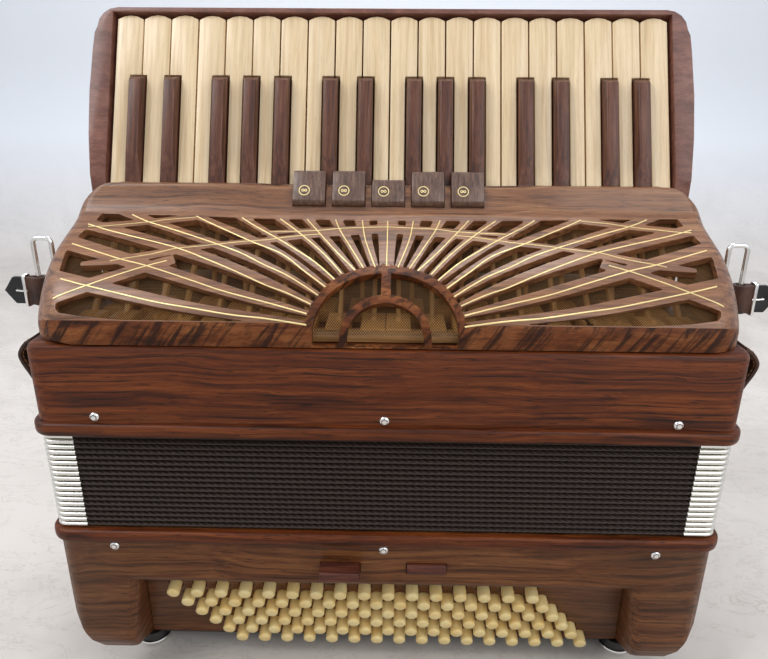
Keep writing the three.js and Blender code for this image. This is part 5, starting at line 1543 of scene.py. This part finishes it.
def smooth_group(angle):
    """Geometry nodes that drop stored normals and shade smooth below an angle."""
    group = bpy.data.node_groups.new(f"smooth_below_{angle}", "GeometryNodeTree")
    for in_out in ("INPUT", "OUTPUT"):
        group.interface.new_socket("Geometry", in_out=in_out, socket_type="NodeSocketGeometry")
    g = Nodes(group)
    start = g.node("NodeGroupInput").outputs[0]
    plain = g.node("GeometryNodeRemoveAttribute", {"Geometry": start, "Name": "custom_normal"}).outputs[0]
    faces = g.node("GeometryNodeSetShadeSmooth", {"Geometry": plain}, domain="FACE").outputs[0]
    turn = g.node("GeometryNodeInputMeshEdgeAngle").outputs["Unsigned Angle"]
    flat = g.node("FunctionNodeCompare", {"A": turn, "B": math.radians(angle)}, operation="LESS_THAN")
    inputs = {"Geometry": faces, "Shade Smooth": flat.outputs[0]}
    g.node("NodeGroupOutput", {0: g.node("GeometryNodeSetShadeSmooth", inputs, domain="EDGE").outputs[0]})
    return group


SMOOTH = smooth_group(36)


def dress(name, look, bevel=0.0, segments=2, bevel_angle=32.0, rounded=None):
    """Gives a node its look and rounds its edges without touching its mesh."""
    node = nodes[name]
    for slot in node.material_slots:
        slot.material = LOOKS[look]
    modify(node, "weld", "WELD", merge_threshold=0.005 * MM)
    if bevel:
        modify(node, "flat_faces", "DECIMATE", decimate_type="DISSOLVE", angle_limit=math.radians(0.4))
    if rounded:
        modify(
            node, "rounded_edges", "BEVEL", width=PILLAR_ROUND * MM, segments=5, limit_method="VGROUP",
            vertex_group=rounded, use_clamp_overlap=False,
        )
    if bevel:
        modify(
            node, "eased_edges", "BEVEL", width=bevel * MM, segments=segments, limit_method="ANGLE",
            angle_limit=math.radians(bevel_angle), use_clamp_overlap=True,
        )
    modify(node, "smooth_shading", "NODES", node_group=SMOOTH)


def pillar_edges():
    """Marks the front edges beside the button board."""
    node = nodes["bass_case"]
    group = node.vertex_groups.new(name="pillar_edges")
    picked = []
    for vertex in node.data.vertices:
        x, y, z = vertex.co / MM
        y -= MIDDLE_Y
        line = RECESS_HALF + RECESS_FLARE * (RECESS_LIP - z) / RECESS_HEIGHT
        below = max(BASS_LOW + FRONT_ROUND - z, 0)
        front = -HALF_DEPTH + FRONT_ROUND - math.sqrt(max(FRONT_ROUND ** 2 - below ** 2, 0))
        if abs(abs(x) - line) < 1.2 and abs(y - front) < 1.5 and z < RECESS_LIP + 1:
            picked.append(vertex.index)
    group.add(picked, 1.0, "REPLACE")
    return group.name


def dress_nodes():
    dress("bass_case", "walnut", 1.1, 3, rounded=pillar_edges())
    dress("treble_case", "walnut_front", 0.6, 2, 50)
    dress("keyboard_frame", "cheek", 1.4, 3)
    dress("key_axle", "chrome")
    kinds = {
        "white_key": ("maple", 0.7, 3),
        "black_key": ("dark_key", 0.6, 2),
        "treble_register": ("register", 0.5, 2),
        "bass_register": ("maroon", 0.7, 3),
    }
    for name in nodes:
        for start, finish in kinds.items():
            if name.startswith(start):
                dress(name, *finish)


# Stage


def stage():
    """A pale floor, in metres, that bends up behind."""
    half, front, back, rise, top = 3.0, -2.5, 0.9, 0.5, 3
    turn = [math.pi / 2 * step / 10 for step in range(1, 11)]
    bend = [(back + rise * math.sin(a), rise * (1 - math.cos(a))) for a in turn]
    rows = [(front, 0), (back, 0), *bend, (back + rise, top)]
    mesh = bpy.data.meshes.new("floor")
    points = [(x, y, z) for y, z in rows for x in (-half, half)]
    mesh.from_pydata(points, [], grid_faces(len(rows), 2, sections_close=False))
    mesh.polygons.foreach_set("use_smooth", [True] * len(mesh.polygons))
    floor = new_object("floor", mesh)
    mesh.materials.append(floor_look())


def floor_look():
    """Pale marble that turns into a bluish wall."""
    g = Graph("floor_look", Roughness=0.6)
    veins = g.noise(g.millimetres(), 0.004, 6.0, 0.62, 0.6)
    cracks = g.noise(g.millimetres(), (0.011, 0.02), 6.0, 0.7, 1.2)
    vein = g.spread(g.math("ABSOLUTE", g.math("SUBTRACT", cracks, 0.5)), 0.012, 0.0)
    marble = g.ramp(veins, [(0.35, srgb(194, 188, 182)), (0.6, srgb(213, 207, 201))])
    marble = g.mix(g.math("MULTIPLY", vein, 0.35), marble, srgb(150, 142, 134))
    height = g.split(g.millimetres())["Z"]
    wall, seen = g.spread(height, 5.0, 300.0), g.is_seen()
    seen_colour = g.mix(wall, marble, srgb(226, 231, 239))
    bounced_colour = g.mix(wall, srgb(150, 144, 138), srgb(226, 231, 239))
    g.set("Base Color", g.mix(seen, bounced_colour, seen_colour))
    g.set("Emission Color", (0.86, 0.92, 1.0, 1))
    g.set("Emission Strength", g.math("MULTIPLY", seen, g.spread(height, 5.0, 300.0, 0.0, 0.15)))
    return g.material


def area_light(name, place, target, size, power):
    data = bpy.data.lights.new(name, "AREA")
    data.shape = "SQUARE"
    data.size = size
    data.energy = power
    lamp = new_object(name, data)
    lamp.location = place
    lamp.rotation_euler = (Vector(target) - Vector(place)).to_track_quat("-Z", "Y").to_euler()


def lights():
    area_light("key_light", (-1.0, -0.4, 1.4), (0, 0, 0.25), 0.8, 11.5)
    area_light("fill_light", (0.9, -0.9, 1.1), (0, 0, 0.2), 1.2, 8.5)
    area_light("back_light", (0.1, 0.9, 1.5), (0, 0, 0.3), 1.0, 14)
    studio_world()


def studio_world():
    """Pale where it is seen or mirrored; its light is stronger from behind than from the front."""
    world = bpy.data.worlds.new("studio")
    bpy.context.scene.world = world
    world.use_nodes = True
    g = Nodes(world.node_tree)
    direction = g.node("ShaderNodeTexCoord").outputs["Generated"]
    cast = g.spread(g.split(direction)["Y"], -0.7, 0.5, 0.48, 0.95)
    background = world.node_tree.nodes["Background"].inputs
    g.feed(background["Color"], (0.93, 0.95, 1.0, 1))
    g.feed(background["Strength"], g.spread(g.is_seen(), 0.0, 1.0, cast, 0.88))


def camera():
    """The photograph's view: looking down at the front from just above the keys."""
    level = Vector((-math.sin(CAMERA_YAW), math.cos(CAMERA_YAW), 0))
    forward = level * math.cos(CAMERA_PITCH) + Vector((0, 0, math.sin(CAMERA_PITCH)))
    right = Vector((math.cos(CAMERA_YAW), math.sin(CAMERA_YAW), 0))
    up = right.cross(forward)
    turned_right = right * math.cos(CAMERA_ROLL) + up * math.sin(CAMERA_ROLL)
    turned_up = up * math.cos(CAMERA_ROLL) - right * math.sin(CAMERA_ROLL)
    data = bpy.data.cameras.new("photo_camera")
    data.sensor_width = 36
    data.lens = data.sensor_width * FOCAL_PIXELS / PICTURE_WIDTH
    data.clip_start = 0.01
    made = new_object("photo_camera", data)
    rows = Matrix((turned_right, turned_up, -forward)).transposed()
    made.matrix_world = Matrix.Translation(Vector(CAMERA_PLACE) * MM) @ rows.to_4x4()
    bpy.context.scene.camera = made
    bpy.context.scene.view_settings.view_transform = "Standard"


# The instrument

camera()
lights()
stage()
dress_nodes()
cover()
register_wells()
inlay()
gauze_sheet()
front_ledge()
button_board()
buttons("note_buttons", range(NOTE_ROWS), "bass_notes", "bass_note_buttons")
buttons("chord_button_caps", range(NOTE_ROWS, BUTTON_ROWS), "chords", "chord_buttons")
dome_pins("bass_pins", BELLOWS_LOW - SEAT_GAP - RIM_HEIGHT - PIN_OFFSET, "bass_half")
dome_pins("treble_pins", BELLOWS_HIGH + SEAT_GAP + RIM_HEIGHT + PIN_OFFSET, "treble_half")
rim_bead("bass_rim", BELLOWS_LOW - SEAT_GAP - RIM_HEIGHT, "bass_half")
rim_bead("treble_rim", BELLOWS_HIGH + SEAT_GAP, "treble_half")
bottom_plate_and_feet()
hand_strap()
air_button()
for bellows_piece in (bellows(), bellows_corners()):
    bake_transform(bellows_piece)
for end_side, end_name in ((-1, "left"), (1, "right")):
    closing_strap(end_side, f"closing_strap_{end_name}", f"closing_{end_name}")
    strap_ring(end_side, f"strap_ring_{end_name}", f"ring_{end_name}")
    strap_bracket(end_side, f"strap_bracket_{end_name}")
    strap_end(end_side, f"strap_end_{end_name}", f"tail_{end_name}")
register_tabs()
